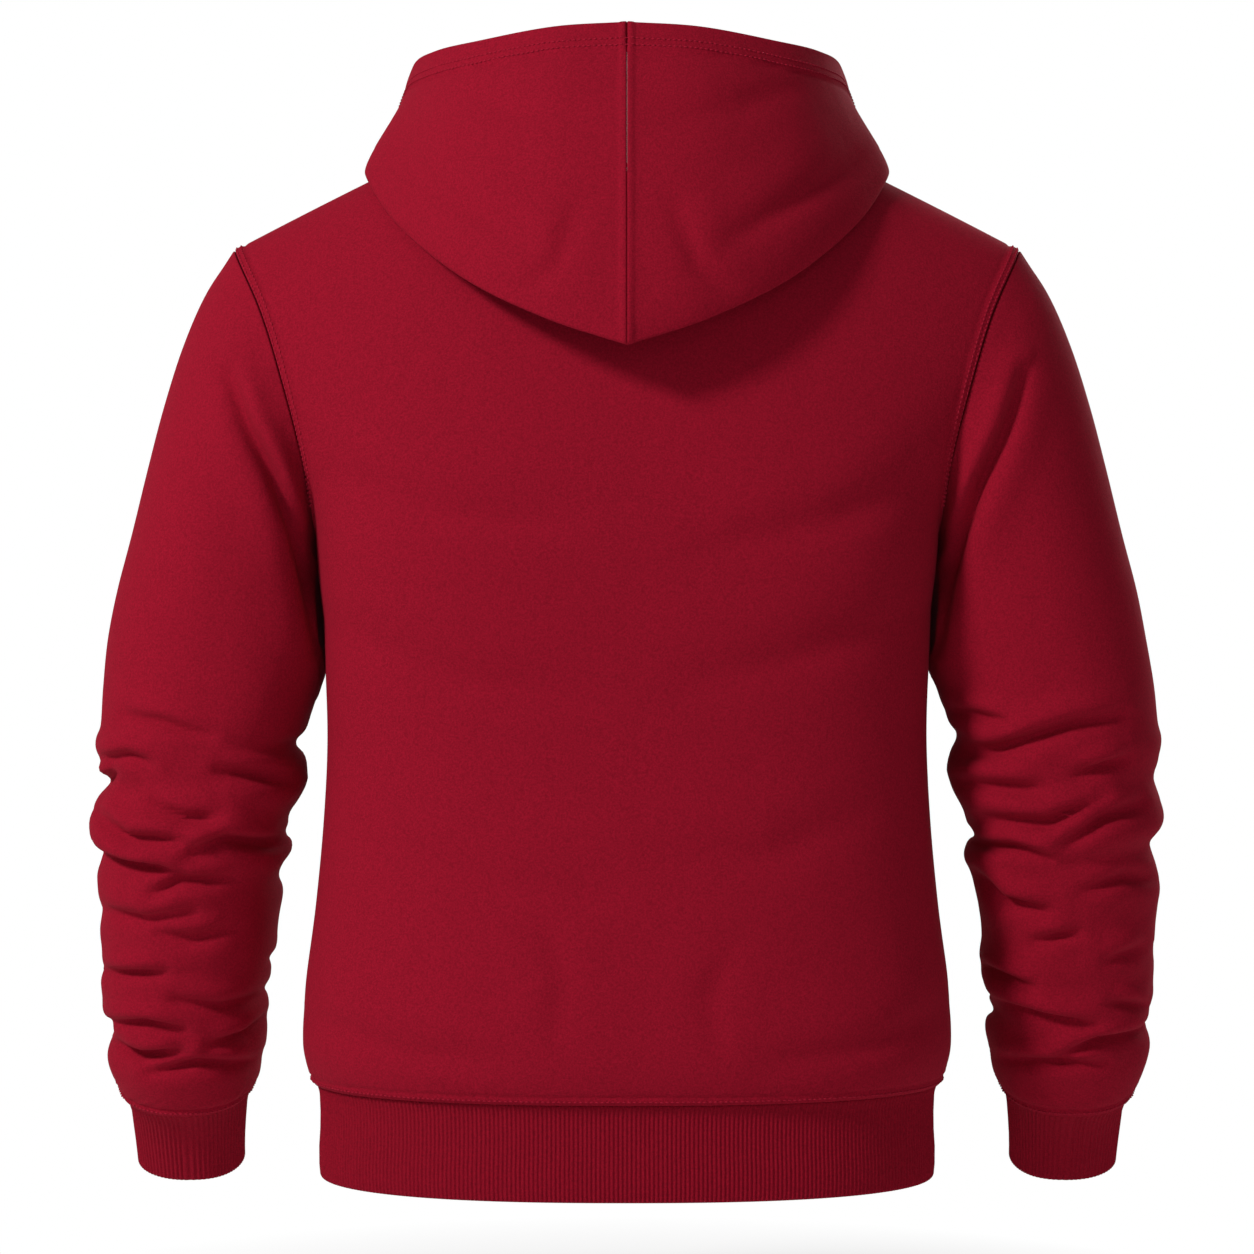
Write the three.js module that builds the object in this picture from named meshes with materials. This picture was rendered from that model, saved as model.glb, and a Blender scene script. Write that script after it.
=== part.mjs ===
// A men's pullover hoodie in brushed fleece with ribbed hem and cuffs, standing hollow in the shape
// it takes when worn, with the hood down on the back.
//
// Millimetres, +Z up. The front faces -Y and the wearer's left is +X. The origin is midway between
// the two points where the shoulder seams meet the neck, which is where the wearer's shoulders carry
// the garment.
//
// Every piece is a wall of cloth of its own. Pieces that are sewn together lie SEAM apart.
import * as THREE from "three";

const FLEECE = 2; // one layer of brushed fleece
const RIB = 4; // the hem and cuff rib is folded double
const CASING = 4; // the hood's edge is turned back and stitched through
const CASING_WIDTH = 20;
const SEAM = 0.3;

const RED = { color: 0x8e1329, roughness: 0.92, metalness: 0 };
const RIB_RED = { color: 0x7c0f22, roughness: 0.94, metalness: 0 };

const UNDERARM = { x: 206, z: -275 };
const SHOULDER = { x: 262, z: -83 };
const NECK = { halfWidth: 95, back: 72, front: 88 };
const SHOULDER_SLOPE = 0.47; // next to the neck, and a little steeper further out
const SHOULDER_CURVE = 0.00016;
const ARMHOLE = { back: 68, front: 62 }; // half depths
const CHEST_FALL = 1.35; // how early the front leans back above the underarm: 2 as the back does

// The torso below the underarm, from the rib seam up. round is the section's squareness: 2 is an
// ellipse and more is squarer.
const TORSO = [
  { z: -637, half: 207.5, back: 116.5, front: 116.5, round: 2.4 },
  { z: -631, half: 211.5, back: 120.5, front: 120.5, round: 2.4 },
  { z: -611, half: 215.8, back: 124, front: 124, round: 2.4 },
  { z: -571, half: 213.8, back: 121, front: 122, round: 2.4 },
  { z: -518, half: 207.3, back: 115, front: 118, round: 2.45 },
  { z: -464, half: 202.2, back: 110, front: 117, round: 2.5 },
  { z: -411, half: 199.6, back: 108, front: 119, round: 2.6 },
  { z: -357, half: 200.6, back: 111, front: 124, round: 2.72 },
  { z: -310, half: 203.4, back: 115.5, front: 127.5, round: 2.86 },
  { z: -275, half: 206, back: 118, front: 129, round: 2.95 },
  { z: -240, half: 208, back: 118, front: 129, round: 2.95 }, // only guides the curve past the underarm
];
const ROUND_AT_SHOULDER = 2.45;

// The hem rib, down from its seam.
const HEM = [
  { z: -637.3, half: 207, back: 116, front: 116, round: 2.4 },
  { z: -645, half: 205, back: 114.2, front: 114.2, round: 2.4 },
  { z: -665, half: 204.5, back: 114, front: 114, round: 2.4 },
  { z: -686, half: 205.5, back: 114.5, front: 114.5, round: 2.4 },
  { z: -699.5, half: 204.5, back: 114, front: 114, round: 2.4 },
];

// The armhole from the underarm (height 0) to the shoulder point (height 1).
const ARMHOLE_EDGE = [
  { height: 0, x: 206 },
  { height: 0.24, x: 210.5 },
  { height: 0.49, x: 222 },
  { height: 0.76, x: 239 },
  { height: 1, x: 262 },
];

// Each sleeve has a row for each section. The outer and inner ends of a section are given apart,
// because the cloth rides up in rolls that are high on one side where they are low on the other.
// y is the section's middle, depth its half depth and tilt how far the arm leans forward, in degrees.
const UPPER_SLEEVE = [
  { outerX: 281.5, outerZ: -112, innerX: 207.5, innerZ: -284, y: -2, depth: 70, tilt: 0 },
  { outerX: 297, outerZ: -147, innerX: 206, innerZ: -293, y: -4, depth: 72, tilt: 0 },
  { outerX: 310, outerZ: -187, innerX: 205, innerZ: -303, y: -6, depth: 73, tilt: 0 },
  { outerX: 321, outerZ: -228, innerX: 204, innerZ: -314, y: -8, depth: 73, tilt: 0 },
  { outerX: 332, outerZ: -272, innerX: 203, innerZ: -326, y: -9, depth: 72, tilt: 1 },
  { outerX: 342, outerZ: -310, innerX: 202.5, innerZ: -340, y: -9, depth: 70, tilt: 2 },
  { outerX: 348.5, outerZ: -343, innerX: 202.5, innerZ: -356, y: -9, depth: 68, tilt: 3 },
];
const LEFT_LOWER = [
  { outerX: 351.5, outerZ: -375, innerX: 206.5, innerZ: -374, y: -8, depth: 66, tilt: 4 },
  { outerX: 353, outerZ: -399, innerX: 216, innerZ: -401, y: -8, depth: 65, tilt: 5 },
  { outerX: 356, outerZ: -412, innerX: 223, innerZ: -413, y: -9, depth: 64, tilt: 6 },
  { outerX: 349, outerZ: -438, innerX: 216, innerZ: -438, y: -11, depth: 61, tilt: 7 },
  { outerX: 361, outerZ: -464, innerX: 232, innerZ: -467, y: -14, depth: 63, tilt: 8 },
  { outerX: 353.5, outerZ: -487, innerX: 228, innerZ: -483, y: -18, depth: 59, tilt: 9 },
  { outerX: 357.5, outerZ: -502, innerX: 235.5, innerZ: -504, y: -21, depth: 60, tilt: 10 },
  { outerX: 355, outerZ: -524, innerX: 235.5, innerZ: -518, y: -25, depth: 57, tilt: 12 },
  { outerX: 357, outerZ: -541, innerX: 238, innerZ: -543, y: -29, depth: 57, tilt: 13 },
  { outerX: 355, outerZ: -562, innerX: 242, innerZ: -562, y: -34, depth: 55, tilt: 14 },
  { outerX: 357.5, outerZ: -575, innerX: 246.5, innerZ: -575, y: -37, depth: 55, tilt: 15 },
  { outerX: 356, outerZ: -593, innerX: 246.5, innerZ: -593, y: -42, depth: 53, tilt: 16 },
  { outerX: 349, outerZ: -608, innerX: 247, innerZ: -608, y: -46, depth: 50, tilt: 17 },
  { outerX: 356, outerZ: -625, innerX: 251, innerZ: -627, y: -51, depth: 52, tilt: 18 },
  { outerX: 352.5, outerZ: -640, innerX: 253.5, innerZ: -642, y: -56, depth: 49, tilt: 19 },
  { outerX: 346.5, outerZ: -652, innerX: 259.5, innerZ: -651, y: -59, depth: 43.5, tilt: 19 },
];
const RIGHT_LOWER = [
  { outerX: 353.5, outerZ: -373, innerX: 208, innerZ: -373, y: -8, depth: 66, tilt: 4 },
  { outerX: 356, outerZ: -397, innerX: 216, innerZ: -397, y: -8, depth: 65, tilt: 5 },
  { outerX: 358.5, outerZ: -411, innerX: 223, innerZ: -409, y: -9, depth: 64, tilt: 6 },
  { outerX: 354, outerZ: -436, innerX: 217, innerZ: -436, y: -11, depth: 61, tilt: 7 },
  { outerX: 361, outerZ: -461, innerX: 233.5, innerZ: -469, y: -14, depth: 63, tilt: 8 },
  { outerX: 352.5, outerZ: -479, innerX: 230, innerZ: -485, y: -17, depth: 59, tilt: 9 },
  { outerX: 359, outerZ: -504, innerX: 230.5, innerZ: -496, y: -21, depth: 60, tilt: 10 },
  { outerX: 359, outerZ: -520, innerX: 239, innerZ: -522, y: -25, depth: 57, tilt: 12 },
  { outerX: 356.5, outerZ: -549, innerX: 241.5, innerZ: -545, y: -30, depth: 57, tilt: 13 },
  { outerX: 358, outerZ: -564, innerX: 241, innerZ: -560, y: -34, depth: 55, tilt: 14 },
  { outerX: 357.5, outerZ: -580, innerX: 244, innerZ: -576, y: -38, depth: 55, tilt: 15 },
  { outerX: 355.5, outerZ: -592, innerX: 252, innerZ: -591, y: -42, depth: 52, tilt: 16 },
  { outerX: 353, outerZ: -602, innerX: 247.5, innerZ: -607, y: -45, depth: 50, tilt: 17 },
  { outerX: 358, outerZ: -619, innerX: 249.5, innerZ: -621, y: -50, depth: 52, tilt: 18 },
  { outerX: 353.5, outerZ: -638, innerX: 252.5, innerZ: -640, y: -55, depth: 49, tilt: 19 },
  { outerX: 346.5, outerZ: -652, innerX: 259.5, innerZ: -651, y: -59, depth: 43.5, tilt: 19 },
];
const CUFF = [
  { outerX: 346, outerZ: -652.5, innerX: 260, innerZ: -651.5, y: -59.2, depth: 43, tilt: 19 },
  { outerX: 342.5, outerZ: -661, innerX: 262, innerZ: -660, y: -62, depth: 38, tilt: 19 },
  { outerX: 341.5, outerZ: -676, innerX: 264, innerZ: -676, y: -68, depth: 33, tilt: 20 },
  { outerX: 340.5, outerZ: -692, innerX: 265.5, innerZ: -692, y: -74, depth: 31.5, tilt: 20 },
  { outerX: 340, outerZ: -705, innerX: 266, innerZ: -705, y: -79, depth: 31, tilt: 20 },
];

// One half of the hood, a row for each section from the centre back (turn 0) round the neck to the
// centre front (turn 1). The cloth leaves the neck seam, lies outward and down to its fold, turns
// there, and comes up again to the free edge. lip and rise shape the turn, lean and drop the top.
const HOOD = [
  { turn: 0, foldX: 0, foldY: 146, foldZ: -160, edgeX: 0, edgeY: 88, edgeZ: 53, stand: 44, lip: 12, rise: 34, lean: 34, drop: 62 },
  { turn: 0.15, foldX: 52, foldY: 137, foldZ: -142, edgeX: 47, edgeY: 83, edgeZ: 51, stand: 40, lip: 11, rise: 30, lean: 31, drop: 56 },
  { turn: 0.3, foldX: 106, foldY: 112, foldZ: -113, edgeX: 96, edgeY: 62, edgeZ: 46, stand: 30, lip: 10, rise: 24, lean: 22, drop: 44 },
  { turn: 0.42, foldX: 151, foldY: 68, foldZ: -72, edgeX: 127, edgeY: 31, edgeZ: 45, stand: 22, lip: 5, rise: 16, lean: 9, drop: 32 },
  { turn: 0.51, foldX: 174, foldY: 18, foldZ: -34, edgeX: 143, edgeY: -4, edgeZ: 42, stand: 18, lip: 2, rise: 10, lean: 2, drop: 25 },
  { turn: 0.63, foldX: 160, foldY: -38, foldZ: -38, edgeX: 150, edgeY: -46, edgeZ: 17, stand: 16, lip: 4, rise: 10, lean: 4, drop: 18 },
  { turn: 0.77, foldX: 117, foldY: -82, foldZ: -66, edgeX: 119, edgeY: -86, edgeZ: -24, stand: 14, lip: 4, rise: 8, lean: 4, drop: 12 },
  { turn: 0.9, foldX: 62, foldY: -104, foldZ: -88, edgeX: 67, edgeY: -109, edgeZ: -57, stand: 12, lip: 3, rise: 6, lean: 3, drop: 8 },
  { turn: 1, foldX: 8, foldY: -108, foldZ: -90, edgeX: 9, edgeY: -117, edgeZ: -68, stand: 6, lip: 2, rise: 6, lean: 2, drop: 6 },
];
const HOOD_CLEARANCE = 2.2; // between the hood and the shoulders it lies on
const FOLD_SHARE = 0.46; // of a hood section's rows that lie under the fold

const power = (base, exponent) => Math.pow(Math.max(base, 0), exponent);
const radians = THREE.MathUtils.degToRad;
const mix = THREE.MathUtils.lerp;

// All columns of a table at one value of its key column, on a smooth curve through the rows.
function rowAt(table, key, value) {
  const last = table.length - 1;
  const up = table[last][key] > table[0][key] ? 1 : -1;
  let i = 0;
  while (i < last - 1 && up * (value - table[i + 1][key]) > 0) i++;
  const span = table[i + 1][key] - table[i][key];
  const t = THREE.MathUtils.clamp((value - table[i][key]) / span, 0, 1);
  const slope = (n, column) => {
    const a = table[Math.max(n - 1, 0)];
    const b = table[Math.min(n + 1, last)];
    return (b[column] - a[column]) / (b[key] - a[key]);
  };
  const row = {};
  for (const column of Object.keys(table[i])) {
    const m0 = slope(i, column) * span;
    const m1 = slope(i + 1, column) * span;
    const from = table[i][column];
    const to = table[i + 1][column];
    const t2 = t * t;
    const t3 = t2 * t;
    row[column] =
      (2 * t3 - 3 * t2 + 1) * from + (t3 - 2 * t2 + t) * m0 + (3 * t2 - 2 * t3) * to + (t3 - t2) * m1;
  }
  return row;
}

// ---- Walls of cloth ----

// The outward normal of a grid of points at column i and row j: across its columns x along its rows.
function gridNormal(grid, i, j, closed) {
  const columns = grid.length;
  const rows = grid[0].length;
  const before = closed ? (i + columns - 1) % columns : Math.max(i - 1, 0);
  const after = closed ? (i + 1) % columns : Math.min(i + 1, columns - 1);
  const across = grid[after][j].clone().sub(grid[before][j]);
  const along = grid[i][Math.min(j + 1, rows - 1)].clone().sub(grid[i][Math.max(j - 1, 0)]);
  return across.cross(along).normalize();
}

// A closed wall whose outer face is a grid of points. thickness(i, j) is measured inwards along the
// normal, and turn(i, j, normal) may set the normal where pieces have to meet on one plane.
function wall(grid, { thickness, closed = false, turn = (i, j, normal) => normal }) {
  const columns = grid.length;
  const rows = grid[0].length;
  const inner = grid.map((line, i) =>
    line.map((point, j) => {
      const normal = turn(i, j, gridNormal(grid, i, j, closed));
      return point.clone().addScaledVector(normal, -thickness(i, j));
    }),
  );
  const points = [...grid.flat(), ...inner.flat()];
  const outerAt = (i, j) => (i % columns) * rows + j;
  const innerAt = (i, j) => columns * rows + outerAt(i, j);
  const triangles = [];
  const quad = (a, b, c, d) => triangles.push(a, b, c, a, c, d);
  const lastColumn = closed ? columns : columns - 1;
  for (let i = 0; i < lastColumn; i++) {
    for (let j = 0; j < rows - 1; j++) {
      quad(outerAt(i, j), outerAt(i + 1, j), outerAt(i + 1, j + 1), outerAt(i, j + 1));
      quad(innerAt(i, j), innerAt(i, j + 1), innerAt(i + 1, j + 1), innerAt(i + 1, j));
    }
    quad(outerAt(i, 0), innerAt(i, 0), innerAt(i + 1, 0), outerAt(i + 1, 0));
    quad(outerAt(i, rows - 1), outerAt(i + 1, rows - 1), innerAt(i + 1, rows - 1), innerAt(i, rows - 1));
  }
  if (!closed) {
    for (let j = 0; j < rows - 1; j++) {
      const end = columns - 1;
      quad(outerAt(0, j), outerAt(0, j + 1), innerAt(0, j + 1), innerAt(0, j));
      quad(outerAt(end, j), innerAt(end, j), innerAt(end, j + 1), outerAt(end, j + 1));
    }
  }
  const geometry = new THREE.BufferGeometry();
  geometry.setAttribute(
    "position",
    new THREE.Float32BufferAttribute(points.flatMap((p) => [p.x, p.y, p.z]), 3),
  );
  geometry.setIndex(triangles);
  geometry.computeVertexNormals();
  return geometry;
}

const ARM_COLUMNS = 20;
const armAngles = () => Array.from({ length: ARM_COLUMNS }, (_, i) => (-i * 2 * Math.PI) / ARM_COLUMNS);

const gridOf = (columns, rows, point) =>
  columns.map((column) => rows.map((row) => point(column, row)));
const steps = (count, from = 0, to = 1) =>
  Array.from({ length: count + 1 }, (_, i) => mix(from, to, i / count));

function piece(name, geometry, finish, mirrored = false) {
  const mesh = new THREE.Mesh(geometry, new THREE.MeshStandardMaterial(finish));
  mesh.name = name;
  if (mirrored) mesh.scale.x = -1;
  return mesh;
}

// ---- Torso ----

const BACK = { side: 1, depth: "back", armhole: ARMHOLE.back, neck: NECK.back, fall: 2 };
const FRONT = { side: -1, depth: "front", armhole: ARMHOLE.front, neck: NECK.front, fall: CHEST_FALL };

// The armhole's edge at a height from the underarm (0) to the shoulder point (1): x and y.
const armholeX = (height) => rowAt(ARMHOLE_EDGE, "height", height).x;
const armholeY = (panel, height) =>
  panel.armhole * power(Math.sin(Math.PI * power(height, 0.9)), 0.5);

// The height of the shoulder line over x, carried on through the neck as a smooth crown.
function shoulderZ(x) {
  const beyond = x - NECK.halfWidth;
  const crown = SHOULDER_SLOPE / (2 * NECK.halfWidth);
  return beyond > 0
    ? -(SHOULDER_SLOPE * beyond + SHOULDER_CURVE * beyond * beyond)
    : crown * (NECK.halfWidth * NECK.halfWidth - x * x);
}

// A point of a superellipse at an angle from the middle of the back or front (0) to the side (90).
const across = (section, angle) => section.half * power(Math.sin(angle), 2 / section.round);
const forward = (section, angle) => section.depth * power(Math.cos(angle), 2 / section.round);

// The section of a panel at a height above the underarm, and the angle at which the armhole cuts it.
function sectionAt(panel, height) {
  const underarm = rowAt(TORSO, "z", UNDERARM.z);
  const depth = underarm[panel.depth] * power(1 - power(height, panel.fall), 0.5);
  const round = mix(underarm.round, ROUND_AT_SHOULDER, height);
  const ratio = Math.min(armholeY(panel, height) / Math.max(depth, 1e-6), 1);
  const cut = Math.acos(power(ratio, round / 2));
  return { half: armholeX(height) / power(Math.sin(cut), 2 / round), depth, round, cut };
}

// The height of the shoulder line over a share of the panel's width.
function topOver(panel, share) {
  const top = sectionAt(panel, 0.9999);
  return Math.max(shoulderZ(across(top, Math.min(Math.abs(share), 1) * top.cut)), SHOULDER.z);
}

// A point of a panel above the underarm. share runs over the panel from its middle (0) to the
// armhole (1), and climb from the underarm (0) to the shoulder line (1).
function upperPoint(panel, share, climb) {
  const height = Math.sin((climb * Math.PI) / 2);
  const section = sectionAt(panel, height);
  const angle = Math.abs(share) * section.cut;
  return new THREE.Vector3(
    Math.sign(share) * across(section, angle),
    panel.side * forward(section, angle),
    mix(UNDERARM.z, topOver(panel, share), height),
  );
}

function lowerPoint(panel, share, z) {
  const row = rowAt(TORSO, "z", z);
  const section = { half: row.half, depth: row[panel.depth], round: row.round };
  const angle = (Math.abs(share) * Math.PI) / 2;
  return new THREE.Vector3(
    Math.sign(share) * across(section, angle),
    panel.side * forward(section, angle),
    z,
  );
}

const SHOULDER_END = 0.9985; // stops half a seam gap short of the shoulder line

// How far a column of a panel climbs: to the shoulder seam, or to the neck where it meets that first.
function climbEnd(panel, share) {
  const inNeck = (climb) => {
    const p = upperPoint(panel, share, climb);
    return (p.x / NECK.halfWidth) ** 2 + (p.y / panel.neck) ** 2 < 1;
  };
  if (!inNeck(SHOULDER_END)) return SHOULDER_END;
  let low = 0;
  let high = SHOULDER_END;
  for (let n = 0; n < 30; n++) {
    const middle = (low + high) / 2;
    if (inNeck(middle)) high = middle;
    else low = middle;
  }
  return low;
}

// The share of a panel's width at which the shoulder seam meets the neck.
function neckShare(panel) {
  let low = 0;
  let high = 1;
  for (let n = 0; n < 30; n++) {
    const middle = (low + high) / 2;
    if (Math.abs(upperPoint(panel, middle, SHOULDER_END).x) < NECK.halfWidth) low = middle;
    else high = middle;
  }
  return low;
}

// The direction in which the cloth faces at the armhole seam, shared by the body and the sleeve.
// angle runs round the armhole from the shoulder point over the back.
const armholeNormal = (angle) =>
  new THREE.Vector3(0.45 + 0.35 * Math.cos(angle), Math.sin(angle), 0.75 * Math.cos(angle)).normalize();

function torsoPanel(panel) {
  const side = panel.side;
  const neckEnd = neckShare(panel);
  const neckColumns = 4;
  const shoulderColumns = 5;
  const half = [
    ...steps(neckColumns).slice(1).map((s) => neckEnd * Math.sin((s * Math.PI) / 2)),
    ...steps(shoulderColumns, neckEnd, 1 - 0.0004).slice(1),
  ];
  const shares = [...half.map((s) => side * s).reverse(), 0, ...half.map((s) => -side * s)];
  const lowerRows = TORSO.slice(0, -1).map(({ z }) => ({ z }));
  // The upper rows end at the same points of the armhole as the sleeve's columns do.
  const upperRows = armAngles().slice(0, ARM_COLUMNS / 2).reverse().map((angle) => {
    const height = (1 + Math.cos(angle)) / 2;
    return { climb: Math.min(Math.asin(height) / (Math.PI / 2) / SHOULDER_END, 1) };
  });
  const rows = [...lowerRows, ...upperRows];
  const ends = new Map(shares.map((share) => [share, climbEnd(panel, share)]));
  const grid = gridOf(shares, rows, (share, row) =>
    row.climb === undefined
      ? lowerPoint(panel, share, row.z)
      : upperPoint(panel, share, row.climb * ends.get(share)),
  );
  const turn = (i, j, normal) => {
    const atArmhole = i === 0 || i === shares.length - 1;
    if (atArmhole && rows[j].climb !== undefined) {
      const height = Math.sin((rows[j].climb * SHOULDER_END * Math.PI) / 2);
      const shared = armholeNormal(Math.acos(2 * height - 1));
      return shared.multiply(new THREE.Vector3(Math.sign(shares[i]), side, 1));
    }
    if (atArmhole) return new THREE.Vector3(normal.x, 0, normal.z).normalize(); // the side seam
    if (j === rows.length - 1 && Math.abs(shares[i]) >= neckEnd - 1e-9) {
      return new THREE.Vector3(normal.x, 0, normal.z).normalize(); // front and back meet at the shoulder
    }
    if (i === (shares.length - 1) / 2) return new THREE.Vector3(0, normal.y, normal.z).normalize();
    return normal;
  };
  return wall(grid, { thickness: () => FLEECE, turn });
}

// ---- Tubes: hem rib, sleeves and cuffs ----

function hemRib() {
  const quarter = 10; // columns
  const angles = steps(4 * quarter).slice(0, -1).map((s) => s * 2 * Math.PI);
  const grid = gridOf(angles, HEM, (angle, row) => {
    const toSide = Math.acos(Math.min(Math.abs(Math.sin(angle)), 1));
    const front = Math.sin(angle) > 0;
    const section = { half: row.half, depth: front ? row.front : row.back, round: row.round };
    return new THREE.Vector3(
      Math.sign(Math.cos(angle)) * across(section, toSide),
      (front ? -1 : 1) * forward(section, toSide),
      row.z,
    );
  });
  return wall(grid, { thickness: () => RIB, closed: true });
}

// A section of an arm: an oval between its outer and inner ends, flatter on the inner side, where
// the sleeve is pressed against the torso without touching it.
function armSection(row, angle) {
  const outer = new THREE.Vector3(row.outerX, row.y, row.outerZ);
  const inner = new THREE.Vector3(row.innerX, row.y, row.innerZ);
  const tilt = radians(row.tilt);
  const flat = Math.cos(angle) < 0 ? PRESSED : 1;
  return outer
    .clone()
    .add(inner)
    .multiplyScalar(0.5)
    .addScaledVector(outer.sub(inner), (Math.sign(Math.cos(angle)) * power(Math.abs(Math.cos(angle)), flat)) / 2)
    .addScaledVector(new THREE.Vector3(0, Math.cos(tilt), -Math.sin(tilt)), row.depth * Math.sin(angle));
}

// How far the torso reaches sideways at y and z, below the underarm.
function torsoReach(y, z) {
  const row = rowAt(TORSO, "z", z);
  const depth = y > 0 ? row.back : row.front;
  return row.half * power(1 - power(Math.abs(y) / depth, row.round), 1 / row.round);
}

// The armhole seam. angle runs from the shoulder point over the back, the underarm and the front.
function armholePoint(angle) {
  const height = (1 + Math.cos(angle)) / 2;
  const panel = Math.sin(angle) > 0 ? BACK : FRONT;
  return new THREE.Vector3(
    armholeX(height),
    panel.side * armholeY(panel, height),
    UNDERARM.z + (SHOULDER.z - UNDERARM.z) * height,
  );
}

const SEAM_ROW = {
  outerX: SHOULDER.x, outerZ: SHOULDER.z, innerX: UNDERARM.x, innerZ: UNDERARM.z, y: 0, depth: 65, tilt: 0,
};
const PRESSED = 0.75; // squareness of a sleeve's inner side: 1 is an ellipse
const SLEEVE_CLEARANCE = 1.2;
const ARMHOLE_FADE = [1, 0.72, 0.45, 0.22, 0.08]; // how much of the armhole's own shape a section keeps

function sleeve(lowerRows) {
  const rows = [SEAM_ROW, ...UPPER_SLEEVE, ...lowerRows];
  const columns = armAngles();
  const grid = gridOf(columns, [...rows.keys()], (angle, k) => {
    const point = armSection(rows[k], angle);
    const own = armholePoint(angle).sub(armSection(SEAM_ROW, angle));
    point.addScaledVector(own, ARMHOLE_FADE[k] ?? 0);
    if (k > 0 && point.z < UNDERARM.z) {
      point.x = Math.max(point.x, torsoReach(point.y, point.z) + SLEEVE_CLEARANCE);
    }
    return point;
  });
  for (const line of grid) {
    const away = line[1].clone().sub(line[0]).normalize();
    line[0].addScaledVector(away, SEAM).add(new THREE.Vector3(2 * SEAM, 0, 0));
  }
  const turn = (i, j, normal) => (j === 0 ? armholeNormal(columns[i]) : normal);
  return wall(grid, { thickness: () => FLEECE, closed: true, turn });
}

function cuff() {
  const grid = gridOf(armAngles(), CUFF, (angle, row) => armSection(row, angle));
  return wall(grid, { thickness: () => RIB, closed: true });
}

// ---- Hood ----

// The neck seam from the centre back (turn 0) over the shoulder seam (0.5) to the centre front (1).
function neckPoint(turn) {
  const panel = turn <= 0.5 ? BACK : FRONT;
  const wanted = panel === BACK ? turn * Math.PI : (1 - turn) * Math.PI;
  let low = 0;
  let high = neckShare(panel);
  for (let n = 0; n < 30; n++) {
    const share = (low + high) / 2;
    const p = upperPoint(panel, share, climbEnd(panel, share));
    const angle = Math.atan2(p.x / NECK.halfWidth, Math.abs(p.y) / panel.neck);
    if (angle < wanted) low = share;
    else high = share;
  }
  return upperPoint(panel, low, climbEnd(panel, low));
}

// The height of the body's cloth at x and y, above the underarm.
function bodyHeight(x, y) {
  const panel = y > 0 ? BACK : FRONT;
  let low = 0;
  let high = 0.9999;
  let section;
  for (let n = 0; n < 30; n++) {
    const middle = (low + high) / 2;
    section = sectionAt(panel, middle);
    const out = power(Math.abs(x) / section.half, section.round);
    if (section.depth * power(1 - out, 1 / section.round) > Math.abs(y)) low = middle;
    else high = middle;
  }
  const out = Math.min(power(Math.abs(x) / section.half, section.round / 2), 1);
  return mix(UNDERARM.z, topOver(panel, Math.asin(out) / section.cut), low);
}

// One section of the hood, as points from the neck seam, under the fold and up to the free edge.
function hoodSection(turn, rows) {
  const row = rowAt(HOOD, "turn", turn);
  const out = new THREE.Vector3(Math.sin(turn * Math.PI), Math.cos(turn * Math.PI), 0);
  const up = new THREE.Vector3(0, 0, 1);
  const neck = neckPoint(turn).addScaledVector(up, 2 * SEAM);
  neck.x = Math.max(neck.x, 5 * SEAM);
  const fold = new THREE.Vector3(row.foldX, row.foldY, row.foldZ);
  const edge = new THREE.Vector3(row.edgeX, row.edgeY, row.edgeZ);
  const at = (from, outward, upward) => from.clone().addScaledVector(out, outward).addScaledVector(up, upward);
  const under = new THREE.CubicBezierCurve3(neck, at(neck, 2, row.stand), at(fold, -row.lip, -2), fold);
  const over = new THREE.CubicBezierCurve3(fold, at(fold, row.lip, row.rise), at(edge, row.lean, -row.drop), edge);
  return rows.map((s, i) => {
    const point =
      s < FOLD_SHARE
        ? under.getPoint(s / FOLD_SHARE)
        : over.getPoint((s - FOLD_SHARE) / (1 - FOLD_SHARE));
    if (i > 0) point.z = Math.max(point.z, bodyHeight(point.x, point.y) + HOOD_CLEARANCE);
    return point;
  });
}

function hoodHalf() {
  const rows = [0, 0.1, 0.2, 0.3, 0.38, 0.43, 0.46, 0.49, 0.54, 0.62, 0.71, 0.8, 0.88, 0.94, 1];
  const turns = [0, 0.08, 0.16, 0.24, 0.32, 0.39, 0.45, 0.5, 0.56, 0.63, 0.7, 0.78, 0.86, 0.93, 1];
  const sections = turns.map((turn) => hoodSection(turn, rows));
  for (const point of sections[0]) point.x = SEAM / 2;
  // Columns run along a section and rows from the centre back to the front.
  const grid = rows.map((_, i) => sections.map((section) => section[i]));
  const turn = (i, j, normal) => (j === 0 ? new THREE.Vector3(0, normal.y, normal.z).normalize() : normal);
  const thickness = (i, j) => {
    const fromEdge = grid[i][j].distanceTo(grid[rows.length - 1][j]);
    return fromEdge < CASING_WIDTH ? CASING : FLEECE;
  };
  return wall(grid, { thickness, turn });
}

// ---- The garment ----

const hoodie = new THREE.Group();
hoodie.add(
  piece("back", torsoPanel(BACK), RED),
  piece("front", torsoPanel(FRONT), RED),
  piece("hem_rib", hemRib(), RIB_RED),
  piece("sleeve_left", sleeve(LEFT_LOWER), RED),
  piece("sleeve_right", sleeve(RIGHT_LOWER), RED, true),
  piece("cuff_left", cuff(), RIB_RED),
  piece("cuff_right", cuff(), RIB_RED, true),
  piece("hood_left", hoodHalf(), RED),
  piece("hood_right", hoodHalf(), RED, true),
);

export default hoodie;
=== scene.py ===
"""A pullover hoodie in brushed fleece, filled out as worn, as a Blender add-on.

Tables and shapes are in millimetres, in the frame of the CAD part: +Z up, the front faces -Y and
the wearer's left is +X. Meshes are made in metres.
"""

import math
from types import SimpleNamespace

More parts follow.
